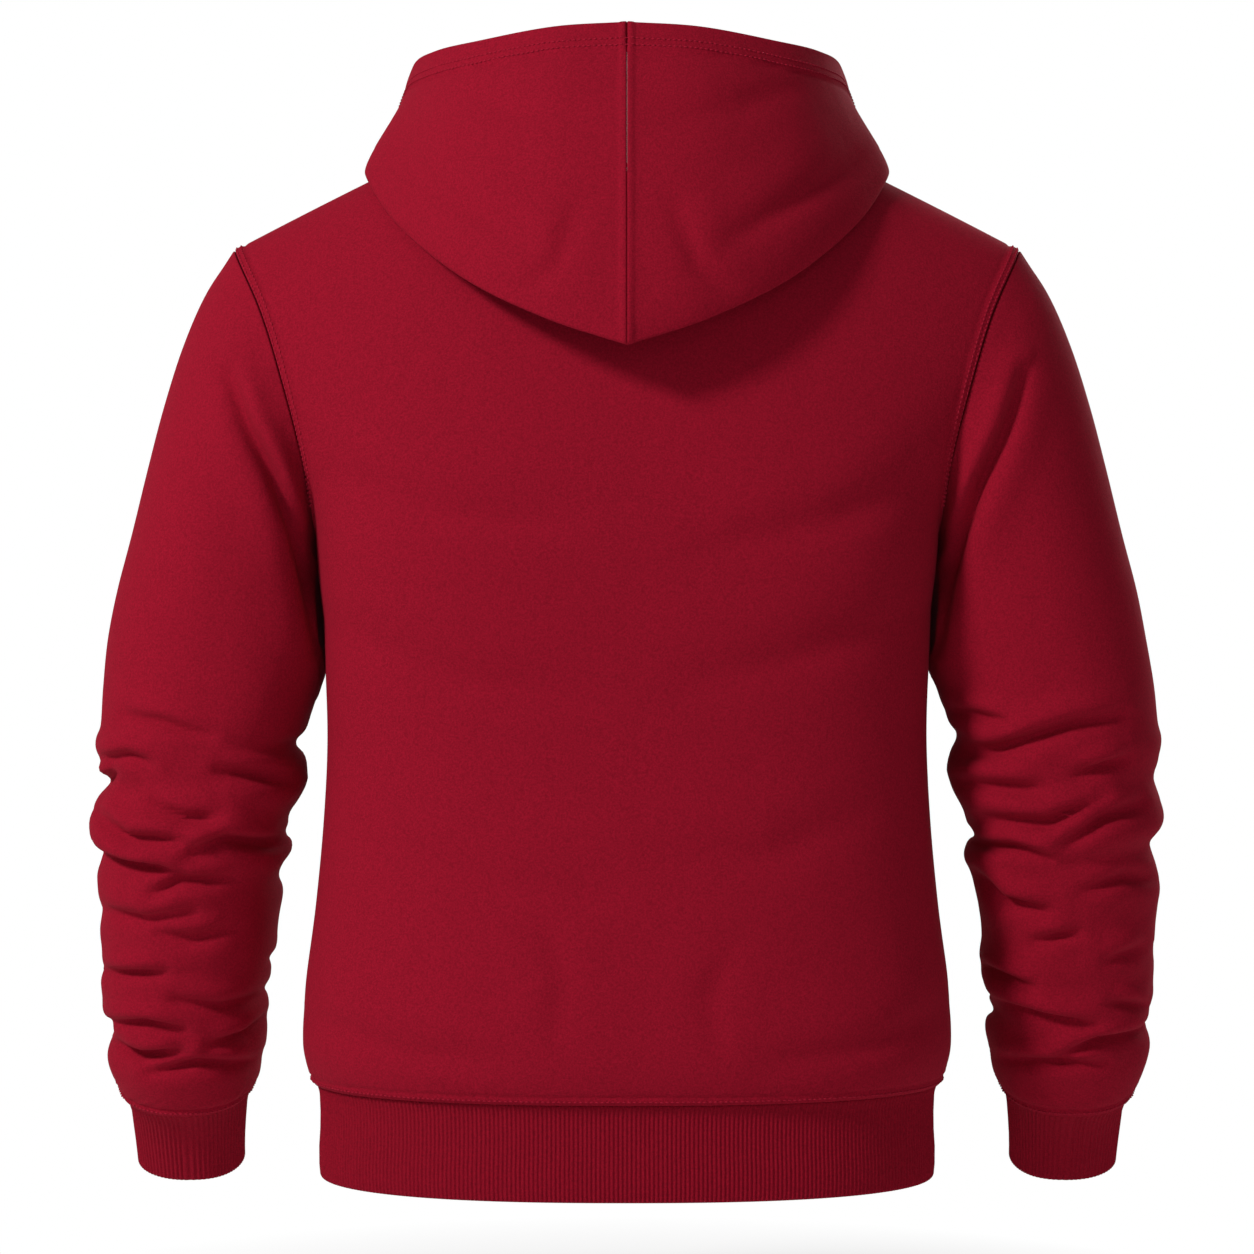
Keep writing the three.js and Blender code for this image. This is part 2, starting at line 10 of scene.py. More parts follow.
import bpy
import numpy as np
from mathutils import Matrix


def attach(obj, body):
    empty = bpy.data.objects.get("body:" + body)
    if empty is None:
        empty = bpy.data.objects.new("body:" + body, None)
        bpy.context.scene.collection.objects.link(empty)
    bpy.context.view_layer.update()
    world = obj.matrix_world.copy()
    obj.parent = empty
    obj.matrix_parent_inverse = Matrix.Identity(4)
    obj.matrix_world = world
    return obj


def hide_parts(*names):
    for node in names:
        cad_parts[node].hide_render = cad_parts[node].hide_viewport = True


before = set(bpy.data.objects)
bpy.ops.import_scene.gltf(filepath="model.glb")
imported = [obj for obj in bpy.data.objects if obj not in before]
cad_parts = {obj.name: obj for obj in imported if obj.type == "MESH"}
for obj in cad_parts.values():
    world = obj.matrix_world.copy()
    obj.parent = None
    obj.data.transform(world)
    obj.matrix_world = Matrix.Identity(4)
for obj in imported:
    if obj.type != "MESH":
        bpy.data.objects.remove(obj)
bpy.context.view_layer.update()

bl_info = {
    "name": "Pullover Hoodie",
    "version": (1, 0, 0),
    "blender": (4, 5, 0),
    "location": "View3D > Sidebar > Hoodie",
    "description": "Builds a fleece pullover hoodie piece by piece, with its stage",
    "category": "Object",
}

MM = 0.001
BODY = "root"


# ---- Tables ----


class Table:
    """Rows of numbers under named columns, read on a smooth curve through them by the first."""

    def __init__(self, names, *rows):
        self.names = names.split()
        self.rows = np.array(sorted(rows), float)

    def at(self, key):
        x = self.rows[:, 0]
        last = len(x) - 1
        before = np.maximum(np.arange(last + 1) - 1, 0)
        after = np.minimum(np.arange(last + 1) + 1, last)
        slopes = (self.rows[after] - self.rows[before]) / (x[after] - x[before])[:, None]
        key = np.asarray(key, float)
        i = np.clip(np.searchsorted(x, key, side="right") - 1, 0, last - 1)
        span = x[i + 1] - x[i]
        t = np.clip((key - x[i]) / span, 0, 1)[..., None]
        span = span[..., None]
        value = (
            (2 * t**3 - 3 * t**2 + 1) * self.rows[i]
            + (t**3 - 2 * t**2 + t) * slopes[i] * span
            + (3 * t**2 - 2 * t**3) * self.rows[i + 1]
            + (t**3 - t**2) * slopes[i + 1] * span
        )
        return SimpleNamespace(**{name: value[..., n] for n, name in enumerate(self.names)})


UNDERARM_Z = -275
SHOULDER_Z = -83
NECK_HALF_WIDTH = 95
SHOULDER_SLOPE = 0.47
SHOULDER_CURVE = 0.00016

# Cross-sections of the body are ovals with an exponent: 2 is an ellipse, more is squarer.
ROUND_AT_SHOULDER = 2.45
TORSO_LENGTH = 362  # from the underarm down to the waistband
HEM_TOP = -637.3
HEM_HEIGHT = 62.2
HEM_ROUND = 1045  # distance round the waistband
CUFF_RIBS = 76
RIB_COLUMNS = 6  # columns of the grid from rib to rib
TORSO = Table(
    "z half back front round",
    (-637, 207.5, 116.5, 116.5, 2.4),
    (-631, 211.5, 120.5, 120.5, 2.4),
    (-611, 215.8, 124, 124, 2.4),
    (-571, 213.8, 121, 122, 2.4),
    (-518, 207.3, 115, 118, 2.45),
    (-464, 202.2, 110, 117, 2.5),
    (-411, 199.6, 108, 119, 2.6),
    (-357, 200.6, 111, 124, 2.72),
    (-310, 203.4, 115.5, 127.5, 2.86),
    (-275, 206, 118, 129, 2.95),
    (-240, 208, 118, 129, 2.95),
)
HEM = Table(
    "z half back front round",
    (-637.3, 207, 116, 116, 2.4),
    (-645, 205, 114.2, 114.2, 2.4),
    (-665, 204.5, 114, 114, 2.4),
    (-686, 205.5, 114.5, 114.5, 2.4),
    (-699.5, 204.5, 114, 114, 2.4),
)
ARMHOLE_EDGE = Table("height x", (0, 206), (0.24, 210.5), (0.49, 222), (0.76, 239), (1, 262))

# Sections of a sleeve from the shoulder to the cuff, then of a cuff. fade is how far a section still
# takes the shape of the armhole.
SLEEVE_HEADINGS = "row outer_x outer_z inner_x inner_z y depth tilt fade"
UPPER_SLEEVE = (
    (262, -83, 206, -275, 0, 65, 0, 1),
    (281.5, -112, 207.5, -284, -2, 70, 0, 0.72),
    (297, -147, 206, -293, -4, 72, 0, 0.45),
    (310, -187, 205, -303, -6, 73, 0, 0.22),
    (321, -228, 204, -314, -8, 73, 0, 0.08),
    (332, -272, 203, -326, -9, 72, 1, 0),
    (342, -310, 202.5, -340, -9, 70, 2, 0),
    (348.5, -343, 202.5, -356, -9, 68, 3, 0),
)
LEFT_LOWER = (
    (351.5, -375, 206.5, -374, -8, 66, 4, 0),
    (353, -399, 216, -401, -8, 65, 5, 0),
    (356, -412, 223, -413, -9, 64, 6, 0),
    (349, -438, 216, -438, -11, 61, 7, 0),
    (361, -464, 232, -467, -14, 63, 8, 0),
    (353.5, -487, 228, -483, -18, 59, 9, 0),
    (357.5, -502, 235.5, -504, -21, 60, 10, 0),
    (355, -524, 235.5, -518, -25, 57, 12, 0),
    (357, -541, 238, -543, -29, 57, 13, 0),
    (355, -562, 242, -562, -34, 55, 14, 0),
    (357.5, -575, 246.5, -575, -37, 55, 15, 0),
    (356, -593, 246.5, -593, -42, 53, 16, 0),
    (349, -608, 247, -608, -46, 50, 17, 0),
    (356, -625, 251, -627, -51, 52, 18, 0),
    (352.5, -640, 253.5, -642, -56, 49, 19, 0),
    (346.5, -652, 259.5, -651, -59, 43.5, 19, 0),
)
RIGHT_LOWER = (
    (353.5, -373, 208, -373, -8, 66, 4, 0),
    (356, -397, 216, -397, -8, 65, 5, 0),
    (358.5, -411, 223, -409, -9, 64, 6, 0),
    (354, -436, 217, -436, -11, 61, 7, 0),
    (361, -461, 233.5, -469, -14, 63, 8, 0),
    (352.5, -479, 230, -485, -17, 59, 9, 0),
    (359, -504, 230.5, -496, -21, 60, 10, 0),
    (359, -520, 239, -522, -25, 57, 12, 0),
    (356.5, -549, 241.5, -545, -30, 57, 13, 0),
    (358, -564, 241, -560, -34, 55, 14, 0),
    (357.5, -580, 244, -576, -38, 55, 15, 0),
    (355.5, -592, 252, -591, -42, 52, 16, 0),
    (353, -602, 247.5, -607, -45, 50, 17, 0),
    (358, -619, 249.5, -621, -50, 52, 18, 0),
    (353.5, -638, 252.5, -640, -55, 49, 19, 0),
    (346.5, -652, 259.5, -651, -59, 43.5, 19, 0),
)
CUFF = (
    (346, -652.5, 260, -651.5, -59.2, 43, 19, 0),
    (342.5, -661, 262, -660, -62, 38, 19, 0),
    (341.5, -676, 264, -676, -68, 33, 20, 0),
    (340.5, -692, 265.5, -692, -74, 31.5, 20, 0),
    (340, -705, 266, -705, -79, 31, 20, 0),
)
HOOD = Table(
    "turn fold_x fold_y fold_z edge_x edge_y edge_z stand lip rise lean drop",
    (0, 0, 146, -160, 0, 88, 53, 44, 12, 34, 34, 62),
    (0.15, 52, 137, -142, 47, 83, 51, 40, 11, 30, 31, 56),
    (0.3, 106, 112, -113, 96, 62, 46, 30, 10, 24, 22, 44),
    (0.42, 151, 68, -72, 127, 31, 45, 22, 5, 16, 9, 32),
    (0.51, 174, 18, -34, 143, -4, 42, 18, 2, 10, 2, 25),
    (0.63, 160, -38, -38, 150, -46, 17, 16, 4, 10, 4, 18),
    (0.77, 117, -82, -66, 119, -86, -24, 14, 4, 8, 4, 12),
    (0.9, 62, -104, -88, 67, -109, -57, 12, 3, 6, 3, 8),
    (1, 8, -108, -90, 9, -117, -68, 6, 2, 6, 2, 6),
)
HOOD_CLEARANCE = 2.2
SLEEVE_CLEARANCE = 1.2
PRESSED = 0.75  # exponent that flattens the inner side of a sleeve
CASING_WIDTH = 20  # of the turned edge of the hood

# Creases are soft troughs along lines of (x, z) points, seen from the back, with a roll of cloth
# above and a low one below. Each row is a depth, a width and the points. On a sleeve x is measured
# outwards, whichever the side.
LEFT_SLEEVE_CREASES = (
    (5.0, 9, ((259, -170), (247, -203), (229, -237), (216, -270), (209, -303), (202, -350))),
    (2.6, 6, ((329, -393), (302, -397), (272, -407))),
    (3.0, 6, ((349, -423), (327, -419), (312, -424))),
    (4.2, 7, ((266, -429), (245, -432), (222, -437))),
    (3.4, 6, ((352, -441), (337, -430))),
    (3.6, 7, ((310, -453), (288, -460), (268, -461))),
    (4.6, 7, ((352, -460), (327, -474), (292, -474))),
    (4.4, 7, ((284, -482), (263, -474), (226, -482))),
    (3.8, 6, ((356, -484), (327, -490), (293, -495))),
    (3.0, 6, ((313, -512), (294, -501), (262, -501))),
    (2.6, 7, ((350, -524), (318, -528), (286, -522))),
    (2.4, 7, ((262, -535), (286, -541), (309, -537))),
    (3.4, 6, ((350, -567), (306, -564))),
    (2.6, 7, ((300, -583), (270, -588), (244, -584))),
    (3.6, 6, ((350, -602), (322, -599), (296, -603))),
    (3.6, 6, ((341, -618), (324, -622), (298, -617))),
    (3.2, 6, ((320, -634), (288, -626), (256, -629))),
    (3.2, 6, ((278, -614), (257, -609), (242, -597))),
)
RIGHT_SLEEVE_CREASES = (
    (5.0, 9, ((259, -170), (246, -206), (230, -240), (217, -272), (209, -306), (203, -350))),
    (2.8, 6, ((216, -390), (251, -398))),
    (4.4, 8, ((226, -421), (259, -409), (289, -399), (322, -394))),
    (3.2, 6, ((294, -431), (328, -421))),
    (4.0, 7, ((220, -438), (268, -441))),
    (4.4, 7, ((240, -461), (274, -463), (309, -449))),
    (4.4, 7, ((286, -476), (312, -460), (338, -453))),
    (3.6, 6, ((228, -481), (255, -479), (276, -486))),
    (4.0, 7, ((232, -499), (249, -517), (276, -522))),
    (2.8, 7, ((300, -508), (328, -500), (352, -503))),
    (3.0, 6, ((270, -543), (296, -536))),
    (2.4, 7, ((318, -556), (345, -549))),
    (3.4, 6, ((238, -564), (268, -575))),
    (3.6, 6, ((247, -587), (282, -596), (312, -600))),
    (3.0, 6, ((322, -585), (350, -590))),
    (3.6, 6, ((290, -620), (314, -611), (350, -608))),
    (3.4, 6, ((258, -627), (289, -626), (318, -628))),
)
# On the torso x runs to both sides, and on the hood it is measured outwards again.
BACK_CREASES = (
    (1.8, 20, ((190, -235), (120, -262), (40, -272))),
    (1.8, 20, ((-192, -240), (-130, -268), (-52, -284))),
    (1.4, 22, ((196, -330), (110, -368), (20, -380))),
    (1.4, 22, ((-196, -322), (-120, -352), (-36, -372))),
    (1.2, 20, ((150, -470), (80, -500), (10, -505))),
    (1.2, 20, ((-160, -452), (-90, -480), (-20, -478))),
    (1.5, 16, ((205, -590), (140, -606), (70, -610))),
    (1.5, 16, ((-205, -586), (-150, -604), (-84, -611))),
    (1.0, 14, ((46, -600), (40, -560), (52, -520))),
    (1.0, 14, ((-60, -604), (-52, -570), (-66, -538))),
)
FRONT_CREASES = (
    (1.8, 20, ((188, -232), (118, -255), (44, -262))),
    (1.8, 20, ((-190, -238), (-124, -258), (-60, -270))),
    (1.4, 22, ((192, -338), (104, -372), (24, -390))),
    (1.4, 22, ((-194, -330), (-126, -360), (-30, -376))),
    (1.3, 18, ((146, -482), (84, -508), (16, -512))),
    (1.3, 18, ((-150, -464), (-84, -492), (-14, -490))),
    (1.5, 16, ((204, -592), (138, -606), (66, -612))),
    (1.5, 16, ((-204, -588), (-146, -606), (-80, -610))),
)
HOOD_CREASES = (
    (1.4, 14, ((150, -30), (112, -62), (60, -96))),
    (1.0, 16, ((120, 20), (70, -6), (20, -14))),
    (1.2, 12, ((70, -128), (44, -110), (30, -70))),
)


# ---- Settings ----


def length_setting(name, description, default):
    return bpy.props.FloatProperty(
        name=name,
        description=description,
        default=default,
        min=0.0001,
        precision=5,
        unit="LENGTH",
    )


def colour_setting(name, description, default):
    return bpy.props.FloatVectorProperty(
        name=name, description=description, subtype="COLOR", size=3, min=0, max=1, default=default
    )


class HoodieSizes(bpy.types.PropertyGroup):
    fleece: length_setting("Fleece", "Thickness of the fleece", 0.002)
    rib: length_setting("Rib", "Thickness of the folded rib", 0.004)
    rib_pitch: length_setting("Rib pitch", "Distance from rib to rib", 0.0028)
    rib_depth: length_setting("Rib depth", "Height of a rib", 0.0009)
    stitch_pitch: length_setting("Stitch pitch", "Distance from stitch to stitch", 0.0034)
    stitch_length: length_setting("Stitch length", "Length of a stitch", 0.0026)
    thread: length_setting("Thread", "Radius of the sewing thread", 0.00052)


class HoodieColours(bpy.types.PropertyGroup):
    fleece: colour_setting("Fleece", "Colour of the fleece", (0.262, 0.0048, 0.0180))
    rib: colour_setting("Rib", "Colour of the rib knit", (0.235, 0.0042, 0.0155))
    thread: colour_setting("Thread", "Colour of the sewing thread", (0.330, 0.0100, 0.0290))
    floor: colour_setting("Floor", "Colour of the floor", (0.9, 0.9, 0.9))


def size(name):
    """A size from the settings, in millimetres."""
    return getattr(bpy.context.scene.hoodie_sizes, name) / MM


# ---- Materials ----


# nap is the distance from tuft to tuft and nap_height their height, both in millimetres
CLOTHS = {
    "fleece": SimpleNamespace(nap=1.2, nap_height=0.6, sheen=0.05),
    "rib": SimpleNamespace(nap=1.2, nap_height=0.4, sheen=0.04),
    "thread": SimpleNamespace(nap=0.5, nap_height=0.1, sheen=0.05),
}
DYE_SPREAD = 0.22  # how far the dye strays from its colour, as a share of it
PATCH_SHARE = 4.0  # height of the broad unevenness, against that of the nap


def fill(node, **values):
    """Sets inputs of a node by name, with an underscore for a space."""
    for name, value in values.items():
        node.inputs[name.replace("_", " ")].default_value = value


def add_node(tree, kind, operation=None, **values):
    made = tree.nodes.new(kind)
    if operation:
        made.operation = operation
    fill(made, **values)
    return made


def wire(tree, *rows):
    """Links the output of one node to the input of another, row by row."""
    for source, output, target, socket in rows:
        tree.links.new(source.outputs[output], target.inputs[socket])


def cloth_material(kind):
    """Matt cloth with a nap and a slightly uneven dye, for one of CLOTHS."""
    name = "hoodie_" + kind
    made = bpy.data.materials.get(name)
    if made:
        return made
    cloth = CLOTHS[kind]
    colour = getattr(bpy.context.scene.hoodie_colours, kind)
    made = bpy.data.materials.new(name)
    made.use_nodes = True
    tree = made.node_tree
    shader = tree.nodes["Principled BSDF"]
    fill(shader, Roughness=0.92, Specular_IOR_Level=0.06)
    fill(shader, Sheen_Weight=cloth.sheen, Sheen_Roughness=0.45, Sheen_Tint=(1.0, 0.12, 0.18, 1))
    place = add_node(tree, "ShaderNodeTexCoord")
    dye = add_node(tree, "ShaderNodeTexNoise", Scale=1 / (cloth.nap * MM), Detail=4, Roughness=0.7)
    patches = add_node(tree, "ShaderNodeTexNoise", Scale=30, Detail=3)
    ramp = add_node(tree, "ShaderNodeValToRGB")
    dark, light = ramp.color_ramp.elements
    dark.position = 0.36
    light.position = 0.64
    dark.color = (*[(1 - DYE_SPREAD) * c for c in colour], 1)
    light.color = (*[(1 + DYE_SPREAD) * c for c in colour], 1)
    height = add_node(tree, "ShaderNodeMath", "MULTIPLY_ADD")
    height.inputs[1].default_value = PATCH_SHARE
    bump = add_node(tree, "ShaderNodeBump", Strength=0.5, Distance=cloth.nap_height * MM)
    wire(
        tree,
        (place, "Object", dye, "Vector"),
        (place, "Object", patches, "Vector"),
        (dye, "Fac", ramp, "Fac"),
        (ramp, "Color", shader, "Base Color"),
        (patches, "Fac", height, 0),
        (dye, "Fac", height, 2),
        (height, "Value", bump, "Height"),
        (bump, "Normal", shader, "Normal"),
    )
    return made


# ---- Walls of cloth ----

# Distances from an edge at which the lines of a grid stand, close together for the seams.
EDGE_LINES = np.array([0, 0.15, 0.5, 1.0, 1.8, 3.0, 4.2, 5.4, 6.6, 8.0])
EDGE_SINK = 0.48  # how far each face sinks at a rounded edge, as a share of the thickness


def steps(count, start=0.0, end=1.0):
    return np.linspace(start, end, count + 1)


def spaced(count, length, both=True):
    """Shares from 0 to 1 of a length in millimetres, closer together at its ends."""
    near = EDGE_LINES / length
    middle = steps(count, near[-1], 1 - near[-1] if both else 1)[1:]
    ends = [near, middle, 1 - near[::-1][1:]] if both else [near, middle]
    return np.concatenate(ends)


def unit(vectors):
    return vectors / np.maximum(np.linalg.norm(vectors, axis=-1, keepdims=True), 1e-9)


def smooth(value):
    value = np.clip(value, 0, 1)
    return value * value * (3 - 2 * value)


def bell(distance, width):
    return np.exp(-((distance / width) ** 2))


def up_to(distance, end, soft):
    """1 as far as an end, falling to 0 over a soft stretch beyond it."""
    return 1 - smooth((distance - end) / soft)


def grid_normals(grid, closed):
    """Outward normals of a grid of points: from column to column x from row to row."""
    if closed:
        sideways = np.roll(grid, -1, axis=0) - np.roll(grid, 1, axis=0)
    else:
        sideways = np.gradient(grid, axis=0)
    return unit(np.cross(sideways, np.gradient(grid, axis=1)))


def lengths(grid, axis):
    """Distance along the grid from its start, in millimetres."""
    gaps = np.linalg.norm(np.diff(grid, axis=axis), axis=-1)
    start = np.zeros_like(np.take(gaps, [0], axis=axis))
    return np.concatenate([start, np.cumsum(gaps, axis=axis)], axis=axis)


def rounding(distance, radius):
    """1 at an edge of cloth, falling to 0 at a radius from it, as a quarter circle does."""
    share = np.clip(1 - distance / radius, 0, 1)
    return 1 - np.sqrt(np.maximum(1 - share * share, 0))


def build_wall(name, grid, thickness, kind, closed, normals, relief):
    """A closed wall of cloth under a grid of points, with rounded edges and a UV map in metres."""
    columns, rows = grid.shape[:2]
    thickness = np.broadcast_to(np.asarray(thickness, float), (columns, rows))
    v = lengths(grid, 1)
    u = lengths(grid, 0)
    radius = thickness / 2
    edge = np.maximum(rounding(v, radius), rounding(v[:, -1:] - v, radius))
    if not closed:
        side = np.maximum(rounding(u, radius), rounding(u[-1:] - u, radius))
        edge = np.maximum(edge, side)
    sunk = edge * thickness * EDGE_SINK
    raised = relief * (1 - edge)
    outer = grid + normals * (raised - sunk)[..., None]
    inner = grid + normals * (raised - thickness + sunk)[..., None]
    points = np.concatenate([outer.reshape(-1, 3), inner.reshape(-1, 3)]) * MM
    index = np.arange(columns * rows).reshape(columns, rows)
    if closed:
        index = np.vstack([index, index[:1]])
    under = index + columns * rows
    a, b, c, d = index[:-1, :-1], index[1:, :-1], index[1:, 1:], index[:-1, 1:]
    e, f, g, h = under[:-1, :-1], under[1:, :-1], under[1:, 1:], under[:-1, 1:]
    quads = [(a, b, c, d), (e, h, g, f)]
    quads += [(a[:, 0], e[:, 0], f[:, 0], b[:, 0]), (d[:, -1], c[:, -1], g[:, -1], h[:, -1])]
    if not closed:
        quads += [(a[0], d[0], h[0], e[0]), (b[-1], f[-1], g[-1], c[-1])]
    faces = np.concatenate([np.stack(quad, -1).reshape(-1, 4) for quad in quads])
    mesh = bpy.data.meshes.new(name)
    mesh.from_pydata(points.tolist(), [], faces.tolist())
    flat = np.stack([u, v], -1).reshape(-1, 2) * MM
    flat = np.concatenate([flat, flat])
    layer = mesh.uv_layers.new(name="cloth")
    layer.data.foreach_set("uv", flat[faces.reshape(-1)].reshape(-1).astype(np.float32))
    mesh.shade_smooth()
    mesh.materials.append(cloth_material(kind))
    piece = bpy.data.objects.new(name, mesh)
    bpy.context.scene.collection.objects.link(piece)
    return piece, outer, normals


def finish_piece(piece, node):
    """Attaches a piece to the body and hides the CAD part that it stands for."""
    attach(piece, BODY)
    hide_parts(node)


# ---- Creases and gathers ----

# Widths and places are shares of a crease's width, and heights shares of its depth.
CREASE_DEPTH = 2.0  # multiplies every depth
TROUGH_WIDTH = 0.55
ROLL_ABOVE = SimpleNamespace(height=0.62, at=1.35, width=1.05)
ROLL_BELOW = SimpleNamespace(height=0.3, at=1.6, width=1.2)
CREASE_ENDS = 0.06  # how far the swell has risen at a crease's ends, in half turns
FAR = 1e9
GATHER = SimpleNamespace(height=0.4, at=9, width=6.5)
GATHER_WAVE = SimpleNamespace(turn=0.62, drift=1.7, drift_turn=0.11, swell=0.3, swell_turn=0.05)
BESIDE_BAND = SimpleNamespace(depth=0.8, at=6.3, width=1.3)
BAND = SimpleNamespace(width=4.4, soft=1.8)  # raised cloth over a seam that joins a rib


def crease_relief(creases, x, z):
    """Height added by creases at x and z: a trough with a roll above and a low one below."""
    total = np.zeros_like(x)
    for depth, width, points in creases:
        line = np.array(points, float)
        pieces = np.linalg.norm(np.diff(line, axis=0), axis=1)
        starts = np.concatenate([[0], np.cumsum(pieces)])
        nearest = np.full(x.shape, FAR)
        along = np.zeros_like(x)
        signed = np.zeros_like(x)
        for n, (start, end) in enumerate(zip(line[:-1], line[1:])):
            way = end - start
            t = ((x - start[0]) * way[0] + (z - start[1]) * way[1]) / (way @ way)
            t = np.clip(t, 0, 1)
            dx = x - start[0] - t * way[0]
            dz = z - start[1] - t * way[1]
            gap = np.hypot(dx, dz)
            up = np.sign(dz * abs(way[0]) - dx * np.sign(way[0]) * way[1])
            closer = gap < nearest
            nearest = np.where(closer, gap, nearest)
            signed = np.where(closer, gap * up, signed)
            along = np.where(closer, (starts[n] + t * pieces[n]) / starts[-1], along)
        turn = CREASE_ENDS + (1 - 2 * CREASE_ENDS) * along
        swell = np.power(np.clip(np.sin(np.pi * turn), 0, 1), 0.7)
        distance = signed / width
        trough = bell(distance, TROUGH_WIDTH)
        above = ROLL_ABOVE.height * bell(distance - ROLL_ABOVE.at, ROLL_ABOVE.width)
        below = ROLL_BELOW.height * bell(distance + ROLL_BELOW.at, ROLL_BELOW.width)
        total += CREASE_DEPTH * depth * swell * (above + below - trough)
    return total


def gathers(u, v):
    """The uneven gathers of fleece sewn to a rib, u round the seam and v away from it."""
    wave = GATHER_WAVE
    drifting = wave.turn * u + wave.drift * np.sin(wave.drift_turn * u)
    swelling = 1 - wave.swell + wave.swell * np.sin(wave.swell_turn * u)
    gather = GATHER.height * np.sin(drifting) * swelling * bell(v - GATHER.at, GATHER.width)
    return gather - BESIDE_BAND.depth * bell(v - BESIDE_BAND.at, BESIDE_BAND.width)


# ---- Torso ----

BACK = SimpleNamespace(side=1, depth="back", armhole=68, neck=72, fall=2)
FRONT = SimpleNamespace(side=-1, depth="front", armhole=62, neck=88, fall=1.35)
SHOULDER_END = 0.9985  # how far the climb from the underarm goes, where no neck stops it
TOP_HEIGHT = 0.9999
HALVINGS = 26
SMALLEST = 1e-6

# How many even columns or rows a grid has, and the length in millimetres they are spaced over.
NECK_COLUMNS = 26
SHOULDER_COLUMNS = 44
SHOULDER_SPAN = 150
SIDE_GAP = 0.0004  # share of a panel's half left open at the side seam
LOWER_ROWS = 104
UPPER_ROWS = 64
FIRST_CLIMB = 0.008
LAST_CLIMB = 0.93
NECK_ROWS = 12
NECK_SPAN = 17
NECK_ROWS_LEFT_OUT = 6

SEAM_NORMALS = (1, 0.85, 0.6, 0.35, 0.15)  # share of the seam's own normal, line by line
CREASES_FROM = SimpleNamespace(side=30, hem=25, top=30)  # distance at which creases are full
STRIP = SimpleNamespace(height=0.6, width=5.2, soft=1.6)  # beside the armhole, over its seam
BESIDE_STRIP = SimpleNamespace(depth=0.7, at=6.9, width=1.3)
HEM_BAND_HEIGHT = 1.1


def power(base, exponent):
    return np.power(np.maximum(base, 0), exponent)


def shoulder_z(x):
    beyond = x - NECK_HALF_WIDTH
    crown = SHOULDER_SLOPE / (2 * NECK_HALF_WIDTH)
    outside = -(SHOULDER_SLOPE * beyond + SHOULDER_CURVE * beyond**2)
    return np.where(beyond > 0, outside, crown * (NECK_HALF_WIDTH**2 - x * x))


def across(section, angle):
    return section.half * power(np.sin(angle), 2 / section.round)


def forward(section, angle):
    return section.depth * power(np.cos(angle), 2 / section.round)


def armhole_y(panel, height):
    return panel.armhole * power(np.sin(np.pi * power(height, 0.9)), 0.5)


def section_at(panel, height):
    height = np.asarray(height, float)
    underarm = TORSO.at(UNDERARM_Z)
    depth = getattr(underarm, panel.depth) * power(1 - power(height, panel.fall), 0.5)
    round_ = underarm.round + (ROUND_AT_SHOULDER - underarm.round) * height
    ratio = np.minimum(armhole_y(panel, height) / np.maximum(depth, SMALLEST), 1)
    cut = np.arccos(power(ratio, round_ / 2))
    half = ARMHOLE_EDGE.at(height).x / power(np.sin(cut), 2 / round_)
    return SimpleNamespace(half=half, depth=depth, round=round_, cut=cut)


def top_over(panel, share):
    top = section_at(panel, TOP_HEIGHT)
    reach = across(top, np.minimum(np.abs(share), 1) * top.cut)
    return np.maximum(shoulder_z(reach), SHOULDER_Z)


def point_on(panel, section, share, z):
    """The point at a share of a panel's half, from its middle (0) to its side (1 or -1)."""
    angle = np.abs(share) * section.cut
    x = np.sign(share) * across(section, angle)
    y = panel.side * forward(section, angle)
    return np.stack(np.broadcast_arrays(x, y, z), -1)


def upper_point(panel, share, climb):
    height = np.sin(climb * np.pi / 2)
    z = UNDERARM_Z + (top_over(panel, share) - UNDERARM_Z) * height
    return point_on(panel, section_at(panel, height), share, z)


def lower_point(panel, share, z):
    section = TORSO.at(z)
    section.depth = getattr(section, panel.depth)
    section.cut = np.pi / 2
    return point_on(panel, section, share, z)


def bisect(test, low, high):
    """Halves the interval again and again, towards where test turns from False to True."""
    for _ in range(HALVINGS):
        middle = (low + high) / 2
        found = test(middle)
        low, high = np.where(found, low, middle), np.where(found, middle, high)
    return low


def climb_end(panel, share):
    def in_neck(climb):
        p = upper_point(panel, share, climb)
        return (p[..., 0] / NECK_HALF_WIDTH) ** 2 + (p[..., 1] / panel.neck) ** 2 < 1

    share = np.asarray(share, float)
    start = np.zeros_like(share)
    found = bisect(in_neck, start, start + SHOULDER_END)
    return np.where(in_neck(start + SHOULDER_END), found, SHOULDER_END)


def neck_share(panel):
    def beyond(share):
        return np.abs(upper_point(panel, share, SHOULDER_END)[..., 0]) >= NECK_HALF_WIDTH

    return float(bisect(beyond, np.array(0.0), np.array(1.0)))


def armhole_normal(angle):
    """The way the cloth faces at the armhole, where panel and sleeve meet."""
    return unit(np.stack([0.45 + 0.35 * np.cos(angle), np.sin(angle), 0.75 * np.cos(angle)], -1))


